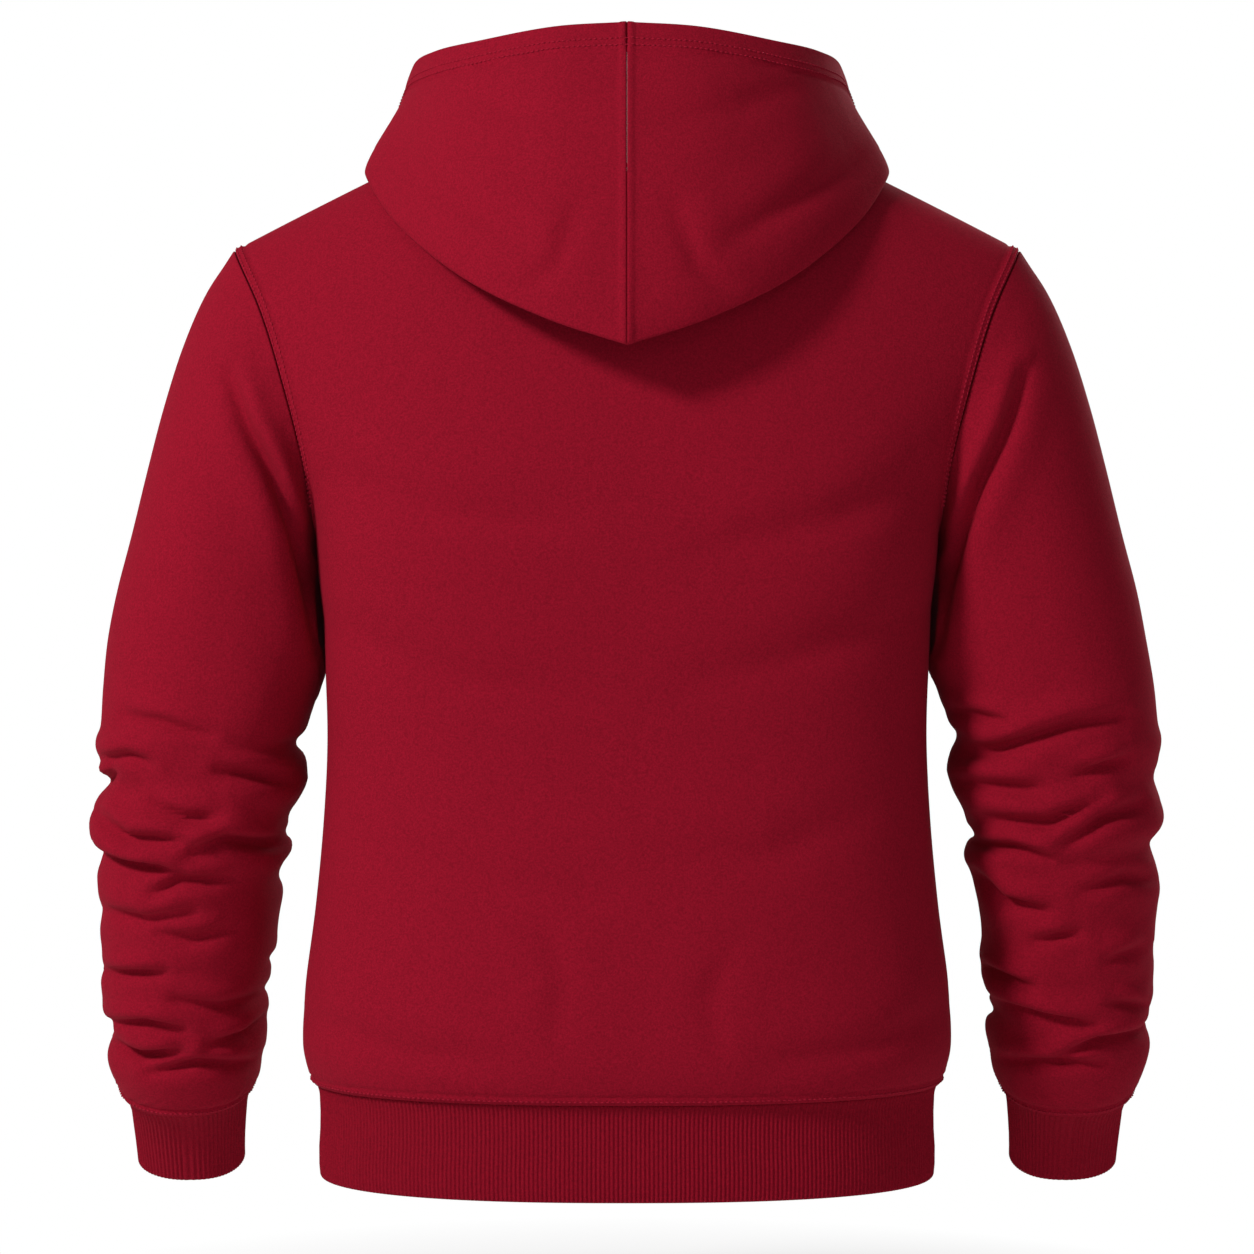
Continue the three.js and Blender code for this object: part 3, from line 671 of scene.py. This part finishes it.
def torso_grid(panel):
    neck_end = neck_share(panel)
    inside = neck_end * np.sin(steps(NECK_COLUMNS) * np.pi / 2)[:-1]
    side_end = 1 - SIDE_GAP
    outside = neck_end + (side_end - neck_end) * spaced(SHOULDER_COLUMNS, SHOULDER_SPAN)
    half = np.concatenate([inside, outside])
    shares = panel.side * np.concatenate([half[:0:-1], [0], -half[1:]])
    below = spaced(LOWER_ROWS, TORSO_LENGTH, both=False)
    low = UNDERARM_Z - TORSO_LENGTH * (1 - below)
    at_neck = spaced(NECK_ROWS, NECK_SPAN)[NECK_ROWS_LEFT_OUT:]
    at_neck = 1 - (1 - at_neck) * (1 - LAST_CLIMB)
    climbs = np.concatenate([steps(UPPER_ROWS, FIRST_CLIMB, LAST_CLIMB), at_neck])
    ends = climb_end(panel, shares)
    lower = lower_point(panel, shares[:, None], low[None, :])
    upper = upper_point(panel, shares[:, None], climbs[None, :] * ends[:, None])
    grid = np.concatenate([lower, upper], axis=1)
    return grid, shares, len(low), climbs, neck_end


def build_torso_panel(name, panel, creases):
    grid, shares, first_upper, climbs, neck_end = torso_grid(panel)
    normals = grid_normals(grid, False)
    for end in (0, -1):
        normals[end, :first_upper, 1] = 0
        heights = np.sin(climbs * SHOULDER_END * np.pi / 2)
        shared = armhole_normal(np.arccos(np.clip(2 * heights - 1, -1, 1)))
        shared = shared * np.array([np.sign(shares[end]), panel.side, 1])
        for k, share in enumerate(SEAM_NORMALS):
            line = k if end == 0 else -1 - k
            own = normals[line, first_upper:]
            normals[line, first_upper:] = unit(shared * share + own * (1 - share))
    normals[np.abs(shares) >= neck_end - SMALLEST, -1, 1] = 0
    normals = unit(normals)
    u = lengths(grid, 0)
    from_side = np.minimum(u, u[-1:] - u)
    v = lengths(grid, 1)
    relief = crease_relief(creases, grid[..., 0], grid[..., 2])
    relief *= smooth(from_side / CREASES_FROM.side) * smooth(v / CREASES_FROM.hem)
    relief *= smooth((v[:, -1:] - v) / CREASES_FROM.top)
    strip = STRIP.height * up_to(from_side, STRIP.width, STRIP.soft)
    groove = BESIDE_STRIP.depth * bell(from_side - BESIDE_STRIP.at, BESIDE_STRIP.width)
    relief[:, first_upper:] += (strip - groove)[:, first_upper:]
    relief += HEM_BAND_HEIGHT * up_to(v, BAND.width, BAND.soft) + gathers(u, v)
    made = build_wall(name, grid, size("fleece"), "fleece", False, normals, relief)
    return made + (from_side, v, first_upper)


# ---- Tubes ----

SLEEVE_ROWS = 210
SLEEVE_LENGTH = 610
SLEEVE_COLUMNS = 132
CONTACT = SimpleNamespace(z=-337, reach=24, push=7)  # where a sleeve leans on the body
SEAM_AWAY = 0.3  # from the armhole, along the sleeve
SEAM_OUT = 0.6
SEAM_REACH = 0.5  # how many sections of the sleeve its seam bends
SEAM_NORMAL_REACH = 0.35
BACK_EDGE = 1.6  # how sharply a sleeve's back creases give way to its front creases
FRONT_SHIFT = 6
ARM_CREASES_FROM = SimpleNamespace(armhole=30, cuff=12)
FLAT_WITHIN = 4  # from the body, where no roll of cloth has room
SLEEVE_BAND_HEIGHT = 1.0
CUFF_ROWS = 4
CUFF_LENGTH = 56
HEM_ROWS = 4
HEM_LENGTH = 62
HEM_MIDDLE = -665.0
FINE_ROUND = 4000


def sleeve_table(*parts):
    rows = [row for part in parts for row in part]
    return Table(SLEEVE_HEADINGS, *[(n, *row) for n, row in enumerate(rows)])


def arm_section(row, angle):
    """An oval between a section's outer and inner ends, flatter on the inner side."""
    cosine = np.cos(angle)
    flat = np.where(cosine < 0, PRESSED, 1)
    reach = np.sign(cosine) * power(np.abs(cosine), flat) / 2
    sine = np.sin(angle) * row.depth
    tilt = np.radians(row.tilt)
    x = (row.outer_x + row.inner_x) / 2 + (row.outer_x - row.inner_x) * reach
    y = row.y + sine * np.cos(tilt)
    z = (row.outer_z + row.inner_z) / 2 + (row.outer_z - row.inner_z) * reach - sine * np.sin(tilt)
    return np.stack(np.broadcast_arrays(x, y, z), -1)


def armhole_point(angle):
    height = (1 + np.cos(angle)) / 2
    y = np.where(np.sin(angle) > 0, armhole_y(BACK, height), -armhole_y(FRONT, height))
    z = UNDERARM_Z + (SHOULDER_Z - UNDERARM_Z) * height
    return np.stack([ARMHOLE_EDGE.at(height).x, y, z], -1)


def torso_reach(y, z):
    row = TORSO.at(z)
    depth = np.where(y > 0, row.back, row.front)
    return row.half * power(1 - power(np.abs(y) / depth, row.round), 1 / row.round)


def sleeve_grid(table):
    count = len(table.rows) - 1
    rows = spaced(SLEEVE_ROWS, SLEEVE_LENGTH) * count
    angles = -steps(SLEEVE_COLUMNS)[:-1] * 2 * np.pi
    a, r = np.meshgrid(angles, rows, indexing="ij")
    row = table.at(r)
    grid = arm_section(row, a)
    to_armhole = armhole_point(angles) - arm_section(table.at(0.0), angles)
    grid += to_armhole[:, None, :] * row.fade[..., None]
    reach = torso_reach(grid[..., 1], grid[..., 2]) + SLEEVE_CLEARANCE
    below = (grid[..., 2] < UNDERARM_Z) & (r > SEAM_REACH)
    leaning = bell(grid[..., 2] - CONTACT.z, CONTACT.reach) * smooth(-np.cos(a))
    grid[..., 0] -= CONTACT.push * leaning
    grid[..., 0] = np.where(below, np.maximum(grid[..., 0], reach), grid[..., 0])
    away = unit(grid[:, 4] - grid[:, 0])
    near = (1 - smooth(r / SEAM_REACH))[..., None]
    grid += near * (away[:, None, :] * SEAM_AWAY + np.array([SEAM_OUT, 0, 0]))
    return grid, angles, r


def build_sleeve(name, lower, creases, other_creases, mirrored):
    grid, angles, r = sleeve_grid(sleeve_table(UPPER_SLEEVE, lower))
    normals = grid_normals(grid, True)
    shared = armhole_normal(angles)
    fade = (1 - smooth(r / SEAM_NORMAL_REACH))[..., None]
    normals = unit(normals * (1 - fade) + shared[:, None, :] * fade)
    v = lengths(grid, 1)
    from_cuff = v[:, -1:] - v
    back = smooth(0.5 + normals[..., 1] * BACK_EDGE)
    x, z = grid[..., 0], grid[..., 2]
    relief = crease_relief(creases, x, z) * back
    relief += crease_relief(other_creases, x, z - FRONT_SHIFT) * (1 - back)
    relief *= smooth(v / ARM_CREASES_FROM.armhole) * smooth(from_cuff / ARM_CREASES_FROM.cuff)
    room = x - torso_reach(grid[..., 1], z) - SLEEVE_CLEARANCE
    relief = np.where(room < FLAT_WITHIN, np.minimum(relief, 0), relief)
    relief += SLEEVE_BAND_HEIGHT * up_to(from_cuff, BAND.width, BAND.soft)
    relief += gathers(lengths(grid, 0), from_cuff)
    if mirrored:
        grid, normals = grid[::-1] * [-1, 1, 1], normals[::-1] * [-1, 1, 1]
        relief, from_cuff = relief[::-1], from_cuff[::-1]
    made = build_wall(name, grid, size("fleece"), "fleece", True, normals, relief)
    return made + (from_cuff,)


def build_ribbed_tube(name, grid):
    """A wall of rib knit whose ribs run along the rows of a closed grid."""
    columns, rows = grid.shape[:2]
    phase = 2 * np.pi * np.arange(columns) / RIB_COLUMNS
    wave = power((1 + np.cos(phase)) / 2, 0.8) - 1
    relief = size("rib_depth") * wave[:, None] * np.ones(rows)[None, :]
    normals = grid_normals(grid, True)
    return build_wall(name, grid, size("rib"), "rib", True, normals, relief)[0]


def build_hem_rib(name):
    columns = round(HEM_ROUND / size("rib_pitch")) * RIB_COLUMNS
    even = np.linspace(0, 2 * np.pi, FINE_ROUND, endpoint=False)

    def ring(angle, z):
        row = HEM.at(z)
        to_side = np.arccos(np.clip(np.abs(np.sin(angle)), 0, 1))
        front = np.sin(angle) > 0
        depth = np.where(front, row.front, row.back)
        section = SimpleNamespace(half=row.half, depth=depth, round=row.round)
        x = np.sign(np.cos(angle)) * across(section, to_side)
        y = np.where(front, -1, 1) * forward(section, to_side)
        return np.stack(np.broadcast_arrays(x, y, z), -1)

    loop = ring(even, HEM_MIDDLE)
    walked = np.concatenate([[0], np.cumsum(np.linalg.norm(np.diff(loop, axis=0), axis=1))])
    whole = walked[-1] + np.linalg.norm(loop[0] - loop[-1])
    angles = np.interp(np.arange(columns) / columns * whole, walked, even)
    heights = HEM_TOP - spaced(HEM_ROWS, HEM_LENGTH) * HEM_HEIGHT
    a, z = np.meshgrid(angles, heights, indexing="ij")
    return build_ribbed_tube(name, ring(a, z))


def build_cuff(name, mirrored):
    rows = spaced(CUFF_ROWS, CUFF_LENGTH) * (len(CUFF) - 1)
    columns = CUFF_RIBS * RIB_COLUMNS
    angles = -np.arange(columns) / columns * 2 * np.pi
    a, r = np.meshgrid(angles, rows, indexing="ij")
    grid = arm_section(sleeve_table(CUFF).at(r), a)
    if mirrored:
        grid = grid[::-1] * [-1, 1, 1]
    return build_ribbed_tube(name, grid)


# ---- Hood ----

HOOD_COLUMNS = 96
HOOD_ROUND = 340
UNDER_ROWS = 34
UNDER_LENGTH = 150
OVER_ROWS = 58
OVER_LENGTH = 190
NECK_LIFT = 0.6
FRONT_GAP = 1.5
MIDDLE_GAP = 0.02
FOLD_PULL = 2  # how far the curves bulge at the neck and dip under the fold
HOOD_CREASES_FROM = SimpleNamespace(edge=30, middle=20, fold=25)
CASING = SimpleNamespace(height=0.9, soft=1.6, extra=1.6)
BESIDE_CASING = SimpleNamespace(depth=1.1, at=1.6, width=1.5)
MIDDLE_SEAM = SimpleNamespace(height=0.8, width=3.6, soft=1.6)


def neck_point(turn):
    """The neck seam from the centre back (turn 0) over the shoulder seam (0.5) to the front (1)."""
    made = np.zeros(turn.shape + (3,))
    for panel, chosen in ((BACK, turn <= 0.5), (FRONT, turn > 0.5)):
        part = turn[chosen]
        wanted = part * np.pi if panel is BACK else (1 - part) * np.pi

        def past(share):
            p = upper_point(panel, share, climb_end(panel, share))
            return np.arctan2(p[..., 0] / NECK_HALF_WIDTH, np.abs(p[..., 1]) / panel.neck) >= wanted

        share = bisect(past, np.zeros_like(part), np.zeros_like(part) + neck_share(panel))
        made[chosen] = upper_point(panel, share, climb_end(panel, share))
    return made


def body_height(x, y):
    """The height of the body's cloth at x and y, above the underarm."""
    made = np.zeros_like(x)
    for panel, chosen in ((BACK, y > 0), (FRONT, y <= 0)):
        px, py = np.abs(x[chosen]), np.abs(y[chosen])

        def clear(height):
            section = section_at(panel, height)
            out = power(px / section.half, section.round)
            return section.depth * power(1 - out, 1 / section.round) <= py

        height = bisect(clear, np.zeros_like(px), np.zeros_like(px) + TOP_HEIGHT)
        section = section_at(panel, height)
        out = np.minimum(power(px / section.half, section.round / 2), 1)
        top = top_over(panel, np.arcsin(out) / section.cut)
        made[chosen] = UNDERARM_Z + (top - UNDERARM_Z) * height
    return made


def bezier(p0, p1, p2, p3, t):
    t = t[:, None, None]
    return (1 - t) ** 3 * p0 + 3 * (1 - t) ** 2 * t * p1 + 3 * (1 - t) * t * t * p2 + t**3 * p3


def hood_grid():
    turns = spaced(HOOD_COLUMNS, HOOD_ROUND)
    row = HOOD.at(turns)
    out = np.stack([np.sin(turns * np.pi), np.cos(turns * np.pi), 0 * turns], -1)
    up = np.array([0.0, 0.0, 1.0])
    neck = neck_point(turns) + NECK_LIFT * up
    neck[:, 0] = np.maximum(neck[:, 0], FRONT_GAP)
    fold = np.stack([row.fold_x, row.fold_y, row.fold_z], -1)
    edge = np.stack([row.edge_x, row.edge_y, row.edge_z], -1)
    under = bezier(
        neck,
        neck + FOLD_PULL * out + row.stand[:, None] * up,
        fold - row.lip[:, None] * out - FOLD_PULL * up,
        fold,
        spaced(UNDER_ROWS, UNDER_LENGTH, both=False),
    )
    over_steps = 1 - spaced(OVER_ROWS, OVER_LENGTH, both=False)[::-1]
    over = bezier(
        fold,
        fold + row.lip[:, None] * out + row.rise[:, None] * up,
        edge + row.lean[:, None] * out - row.drop[:, None] * up,
        edge,
        over_steps[1:],
    )
    grid = np.concatenate([under, over])
    lift = body_height(grid[1:, :, 0], grid[1:, :, 1]) + HOOD_CLEARANCE
    grid[1:, :, 2] = np.maximum(grid[1:, :, 2], lift)
    grid[:, 0, 0] = MIDDLE_GAP
    return grid, len(under)


def build_hood_half(name, base, first_over, mirrored):
    grid = base.copy()
    normals = grid_normals(grid, False)
    normals[:, 0, 0] = 0
    normals = unit(normals)
    u = lengths(grid, 0)
    from_edge = u[-1:] - u
    from_middle = lengths(grid, 1)
    from_fold = np.linalg.norm(grid - grid[first_over][None], axis=-1)
    outside = np.zeros_like(from_edge)
    outside[first_over:] = 1
    relief = crease_relief(HOOD_CREASES, grid[..., 0], grid[..., 2]) * outside
    relief *= smooth(from_edge / HOOD_CREASES_FROM.edge - 0.5)
    relief *= smooth(from_middle / HOOD_CREASES_FROM.middle)
    relief *= smooth(from_fold / HOOD_CREASES_FROM.fold)
    casing = up_to(from_edge, CASING_WIDTH, CASING.soft)
    from_casing = from_edge - CASING_WIDTH
    relief += CASING.height * casing
    relief -= BESIDE_CASING.depth * bell(from_casing - BESIDE_CASING.at, BESIDE_CASING.width)
    middle = up_to(from_middle, MIDDLE_SEAM.width, MIDDLE_SEAM.soft)
    relief += MIDDLE_SEAM.height * middle * outside
    thickness = size("fleece") + CASING.extra * casing
    if mirrored:
        grid, normals = grid[:, ::-1] * [-1, 1, 1], normals[:, ::-1] * [-1, 1, 1]
        relief, thickness, from_edge = relief[:, ::-1], thickness[:, ::-1], from_edge[:, ::-1]
    made = build_wall(name, grid, thickness, "fleece", False, normals, relief)
    return made + (from_edge,)


# ---- Stitching ----

STITCH_LIFT = 0.2
STITCHES_FROM_ARMHOLE = (1.6, 4.8)
STITCHES_FROM_RIB = 4.0
STITCHES_INSIDE_CASING = (1, 6)
SEARCHED = 30  # lines of a grid, from its edge, among which a seam is looked for
SEARCHED_AT_ARMHOLE = 40
seams = []  # lines of points, in millimetres, that the stitching follows


def add_seam(outer, normals, distance, wanted, closed=False):
    """A seam at a wanted distance, measured along the first axis of the grids given."""
    lifted = outer + normals * STITCH_LIFT
    line = []
    for column in range(lifted.shape[1]):
        order = np.argsort(distance[:, column])
        d = distance[order, column]
        line.append([np.interp(wanted, d, lifted[order, column, k]) for k in range(3)])
    if closed:
        line.append(line[0])
    seams.append(np.array(line))


def turned(*grids):
    return [np.swapaxes(grid, 0, 1) for grid in grids]


def stitch_tree():
    """Stitches along the lines of a mesh. Inputs: pitch, length, thread and material."""
    tree = bpy.data.node_groups.new("Stitches", "GeometryNodeTree")
    kinds = {"Geometry": "Geometry", "Pitch": "Float", "Length": "Float", "Thread": "Float"}
    kinds["Material"] = "Material"
    for name, kind in kinds.items():
        tree.interface.new_socket(name, in_out="INPUT", socket_type="NodeSocket" + kind)
    tree.interface.new_socket("Geometry", in_out="OUTPUT", socket_type="NodeSocketGeometry")
    given = add_node(tree, "NodeGroupInput")
    result = add_node(tree, "NodeGroupOutput")
    curve = add_node(tree, "GeometryNodeMeshToCurve")
    sample = add_node(tree, "GeometryNodeResampleCurve")
    sample.mode = "LENGTH"
    tangent = add_node(tree, "GeometryNodeInputTangent")
    turn = add_node(tree, "FunctionNodeAlignRotationToVector")
    turn.axis = "X"
    ball = add_node(tree, "GeometryNodeMeshUVSphere", Segments=6, Rings=4, Radius=1.0)
    half = add_node(tree, "ShaderNodeMath", "MULTIPLY")
    half.inputs[1].default_value = 0.5
    stretch = add_node(tree, "ShaderNodeCombineXYZ")
    place = add_node(tree, "GeometryNodeInstanceOnPoints")
    real = add_node(tree, "GeometryNodeRealizeInstances")
    paint = add_node(tree, "GeometryNodeSetMaterial")
    wire(
        tree,
        (given, "Geometry", curve, "Mesh"),
        (curve, "Curve", sample, "Curve"),
        (given, "Pitch", sample, "Length"),
        (tangent, "Tangent", turn, "Vector"),
        (sample, "Curve", place, "Points"),
        (ball, "Mesh", place, "Instance"),
        (turn, "Rotation", place, "Rotation"),
        (given, "Length", half, 0),
        (half, "Value", stretch, "X"),
        (given, "Thread", stretch, "Y"),
        (given, "Thread", stretch, "Z"),
        (stretch, "Vector", place, "Scale"),
        (place, "Instances", real, "Geometry"),
        (real, "Geometry", paint, "Geometry"),
        (given, "Material", paint, "Material"),
        (paint, "Geometry", result, "Geometry"),
    )
    return tree


def build_stitches():
    points, edges = [], []
    for line in seams:
        start = len(points)
        points += (line * MM).tolist()
        edges += [(start + n, start + n + 1) for n in range(len(line) - 1)]
    guide = bpy.data.meshes.new("seam_lines")
    guide.from_pydata(points, edges, [])
    piece = bpy.data.objects.new("stitches", guide)
    bpy.context.scene.collection.objects.link(piece)
    tree = stitch_tree()
    modifier = piece.modifiers.new("Stitches", "NODES")
    modifier.node_group = tree
    sizes = bpy.context.scene.hoodie_sizes
    values = {
        "Pitch": sizes.stitch_pitch,
        "Length": sizes.stitch_length,
        "Thread": sizes.thread,
        "Material": cloth_material("thread"),
    }
    for item in tree.interface.items_tree:
        if item.in_out == "INPUT" and item.name in values:
            modifier[item.identifier] = values[item.name]
    bpy.context.view_layer.update()
    evaluated = piece.evaluated_get(bpy.context.evaluated_depsgraph_get())
    made = bpy.data.meshes.new_from_object(evaluated)
    piece.modifiers.clear()
    piece.data = made
    bpy.data.meshes.remove(guide)
    made.shade_smooth()
    return piece


# ---- Operators ----


CAMERA_DISTANCE = 2.0
CAMERA_Z = -0.335
FRAMED_WIDTH = 0.84
SENSOR_WIDTH = 36
LAMPS_AIM_AT = (0, 0, -0.33)
FLOOR_Z = -0.86
FLOOR_REACH = 9.0


class HOODIE_OT_torso(bpy.types.Operator):
    """Build the back and front panels"""

    bl_idname = "hoodie.torso"
    bl_label = "Torso"

    def execute(self, context):
        for name, panel, creases in (("back", BACK, BACK_CREASES), ("front", FRONT, FRONT_CREASES)):
            piece, outer, normals, from_side, v, first = build_torso_panel(
                name + "_panel", panel, creases
            )
            finish_piece(piece, name)
            near = slice(first + 4, -3)
            for end in (1, -1):
                sides = [grid[::end] for grid in (outer, normals, from_side)]
                part = [grid[:SEARCHED_AT_ARMHOLE, near] for grid in sides]
                for wanted in STITCHES_FROM_ARMHOLE:
                    add_seam(*part, wanted)
            by_hem = [grid[:, :SEARCHED] for grid in (outer, normals, v)]
            add_seam(*turned(*by_hem), STITCHES_FROM_RIB)
        return {"FINISHED"}


class HOODIE_OT_sleeves(bpy.types.Operator):
    """Build both sleeves"""

    bl_idname = "hoodie.sleeves"
    bl_label = "Sleeves"

    def execute(self, context):
        for name, lower, creases, other, mirrored in (
            ("sleeve_left", LEFT_LOWER, LEFT_SLEEVE_CREASES, RIGHT_SLEEVE_CREASES, False),
            ("sleeve_right", RIGHT_LOWER, RIGHT_SLEEVE_CREASES, LEFT_SLEEVE_CREASES, True),
        ):
            piece, outer, normals, from_cuff = build_sleeve(
                name + "_cloth", lower, creases, other, mirrored
            )
            finish_piece(piece, name)
            by_cuff = [grid[:, -SEARCHED:] for grid in (outer, normals, from_cuff)]
            add_seam(*turned(*by_cuff), STITCHES_FROM_RIB, closed=True)
        return {"FINISHED"}


class HOODIE_OT_ribs(bpy.types.Operator):
    """Build the ribbed waistband and cuffs"""

    bl_idname = "hoodie.ribs"
    bl_label = "Ribs"

    def execute(self, context):
        finish_piece(build_hem_rib("waistband"), "hem_rib")
        for name, mirrored in (("cuff_left", False), ("cuff_right", True)):
            finish_piece(build_cuff(name + "_rib", mirrored), name)
        return {"FINISHED"}


class HOODIE_OT_hood(bpy.types.Operator):
    """Build both halves of the hood"""

    bl_idname = "hoodie.hood"
    bl_label = "Hood"

    def execute(self, context):
        base, first_over = hood_grid()
        for name, mirrored in (("hood_left", False), ("hood_right", True)):
            piece, outer, normals, from_edge = build_hood_half(
                name + "_half", base, first_over, mirrored
            )
            finish_piece(piece, name)
            over = [grid[first_over:, 2:-2] for grid in (outer, normals, from_edge)]
            for inside in STITCHES_INSIDE_CASING:
                add_seam(*over, CASING_WIDTH - inside)
        return {"FINISHED"}


class HOODIE_OT_stitching(bpy.types.Operator):
    """Sew stitches along the seams"""

    bl_idname = "hoodie.stitching"
    bl_label = "Stitching"

    def execute(self, context):
        piece = build_stitches()
        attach(piece, BODY)
        return {"FINISHED"}


class HOODIE_OT_stage(bpy.types.Operator):
    """Set up the floor, the lamps, the world and the camera"""

    bl_idname = "hoodie.stage"
    bl_label = "Stage"

    def execute(self, context):
        scene = context.scene
        scene.view_settings.view_transform = "Standard"
        build_floor(scene.hoodie_colours.floor)
        build_world()
        area_lamp("key", (2.1, 1.7, 1.45), 0.6, 80)
        area_lamp("fill", (-0.6, 2.8, 0.2), 1.8, 8)
        area_lamp("front", (-1.6, -2.4, 1.1), 1.4, 42)
        camera = bpy.data.cameras.new("camera")
        camera.sensor_width = SENSOR_WIDTH
        camera.lens = SENSOR_WIDTH * CAMERA_DISTANCE / FRAMED_WIDTH
        camera.clip_end = 50
        holder = bpy.data.objects.new("camera", camera)
        holder.location = (0, CAMERA_DISTANCE, CAMERA_Z)
        holder.rotation_euler = (math.pi / 2, 0, math.pi)
        scene.collection.objects.link(holder)
        scene.camera = holder
        return {"FINISHED"}


def sees_background(tree):
    """A node whose value is 1 for rays on which the plain background should show."""
    path = add_node(tree, "ShaderNodeLightPath")
    seen = add_node(tree, "ShaderNodeMath", "MAXIMUM")
    made = add_node(tree, "ShaderNodeMath", "MAXIMUM")
    wire(
        tree,
        (path, "Is Camera Ray", seen, 0),
        (path, "Is Glossy Ray", seen, 1),
        (seen, "Value", made, 0),
        (path, "Is Transmission Ray", made, 1),
    )
    return made


def build_floor(floor_colour):
    """A plain floor that keeps the shadow near the object and turns white further out."""
    mesh = bpy.data.meshes.new("floor")
    corners = ((-1, -1), (1, -1), (1, 1), (-1, 1))
    points = [(x * FLOOR_REACH, y * FLOOR_REACH, 0) for x, y in corners]
    mesh.from_pydata(points, [], [(0, 1, 2, 3)])
    material = bpy.data.materials.new("floor")
    material.use_nodes = True
    tree = material.node_tree
    shader = tree.nodes["Principled BSDF"]
    fill(shader, Base_Color=(*floor_colour, 1), Roughness=1, Specular_IOR_Level=0)
    glow = add_node(tree, "ShaderNodeEmission")
    mix = add_node(tree, "ShaderNodeMixShader")
    place = add_node(tree, "ShaderNodeTexCoord")
    away = add_node(tree, "ShaderNodeVectorMath", "LENGTH")
    fade = add_node(tree, "ShaderNodeMapRange", From_Min=0.35, From_Max=0.66, To_Min=0.45, To_Max=1.0)
    part = add_node(tree, "ShaderNodeMath", "MULTIPLY")
    wire(
        tree,
        (place, "Object", away, 0),
        (away, "Value", fade, "Value"),
        (sees_background(tree), "Value", part, 0),
        (fade, "Result", part, 1),
        (part, "Value", mix, "Fac"),
        (shader, "BSDF", mix, 1),
        (glow, "Emission", mix, 2),
        (mix, "Shader", tree.nodes["Material Output"], "Surface"),
    )
    mesh.materials.append(material)
    floor = bpy.data.objects.new("floor", mesh)
    floor.location.z = FLOOR_Z
    bpy.context.scene.collection.objects.link(floor)


def build_world():
    world = bpy.data.worlds.new("world")
    bpy.context.scene.world = world
    world.use_nodes = True
    tree = world.node_tree
    dim = tree.nodes["Background"]
    fill(dim, Color=(1, 1, 1, 1), Strength=0.17)
    white = add_node(tree, "ShaderNodeBackground", Color=(1, 1, 1, 1), Strength=1)
    mix = add_node(tree, "ShaderNodeMixShader")
    wire(
        tree,
        (sees_background(tree), "Value", mix, "Fac"),
        (dim, "Background", mix, 1),
        (white, "Background", mix, 2),
        (mix, "Shader", tree.nodes["World Output"], "Surface"),
    )


def area_lamp(name, place, diameter, watts):
    lamp = bpy.data.lights.new(name, "AREA")
    lamp.shape = "DISK"
    lamp.size = diameter
    lamp.energy = watts
    holder = bpy.data.objects.new(name, lamp)
    holder.location = place
    aim = np.array(LAMPS_AIM_AT) - np.array(place)
    flat = math.hypot(aim[0], aim[1])
    holder.rotation_euler = (math.atan2(flat, -aim[2]), 0, math.atan2(aim[1], aim[0]) - math.pi / 2)
    bpy.context.scene.collection.objects.link(holder)


class HOODIE_PT_panel(bpy.types.Panel):
    """Lists the hoodie's settings and pieces"""

    bl_idname = "HOODIE_PT_panel"
    bl_label = "Pullover Hoodie"
    bl_space_type = "VIEW_3D"
    bl_region_type = "UI"
    bl_category = "Hoodie"

    def draw(self, context):
        layout = self.layout
        for group in (context.scene.hoodie_sizes, context.scene.hoodie_colours):
            for name in group.__annotations__:
                layout.prop(group, name)
        for operator in OPERATORS:
            layout.operator(operator.bl_idname)


OPERATORS = (
    HOODIE_OT_torso,
    HOODIE_OT_sleeves,
    HOODIE_OT_ribs,
    HOODIE_OT_hood,
    HOODIE_OT_stitching,
    HOODIE_OT_stage,
)
CLASSES = (HoodieSizes, HoodieColours, *OPERATORS, HOODIE_PT_panel)


def register():
    for each in CLASSES:
        bpy.utils.register_class(each)
    bpy.types.Scene.hoodie_sizes = bpy.props.PointerProperty(type=HoodieSizes)
    bpy.types.Scene.hoodie_colours = bpy.props.PointerProperty(type=HoodieColours)


def unregister():
    del bpy.types.Scene.hoodie_colours
    del bpy.types.Scene.hoodie_sizes
    for each in reversed(CLASSES):
        bpy.utils.unregister_class(each)


def main():
    register()
    bpy.ops.hoodie.torso()
    bpy.ops.hoodie.sleeves()
    bpy.ops.hoodie.ribs()
    bpy.ops.hoodie.hood()
    bpy.ops.hoodie.stitching()
    bpy.ops.hoodie.stage()


if __name__ == "__main__":
    main()
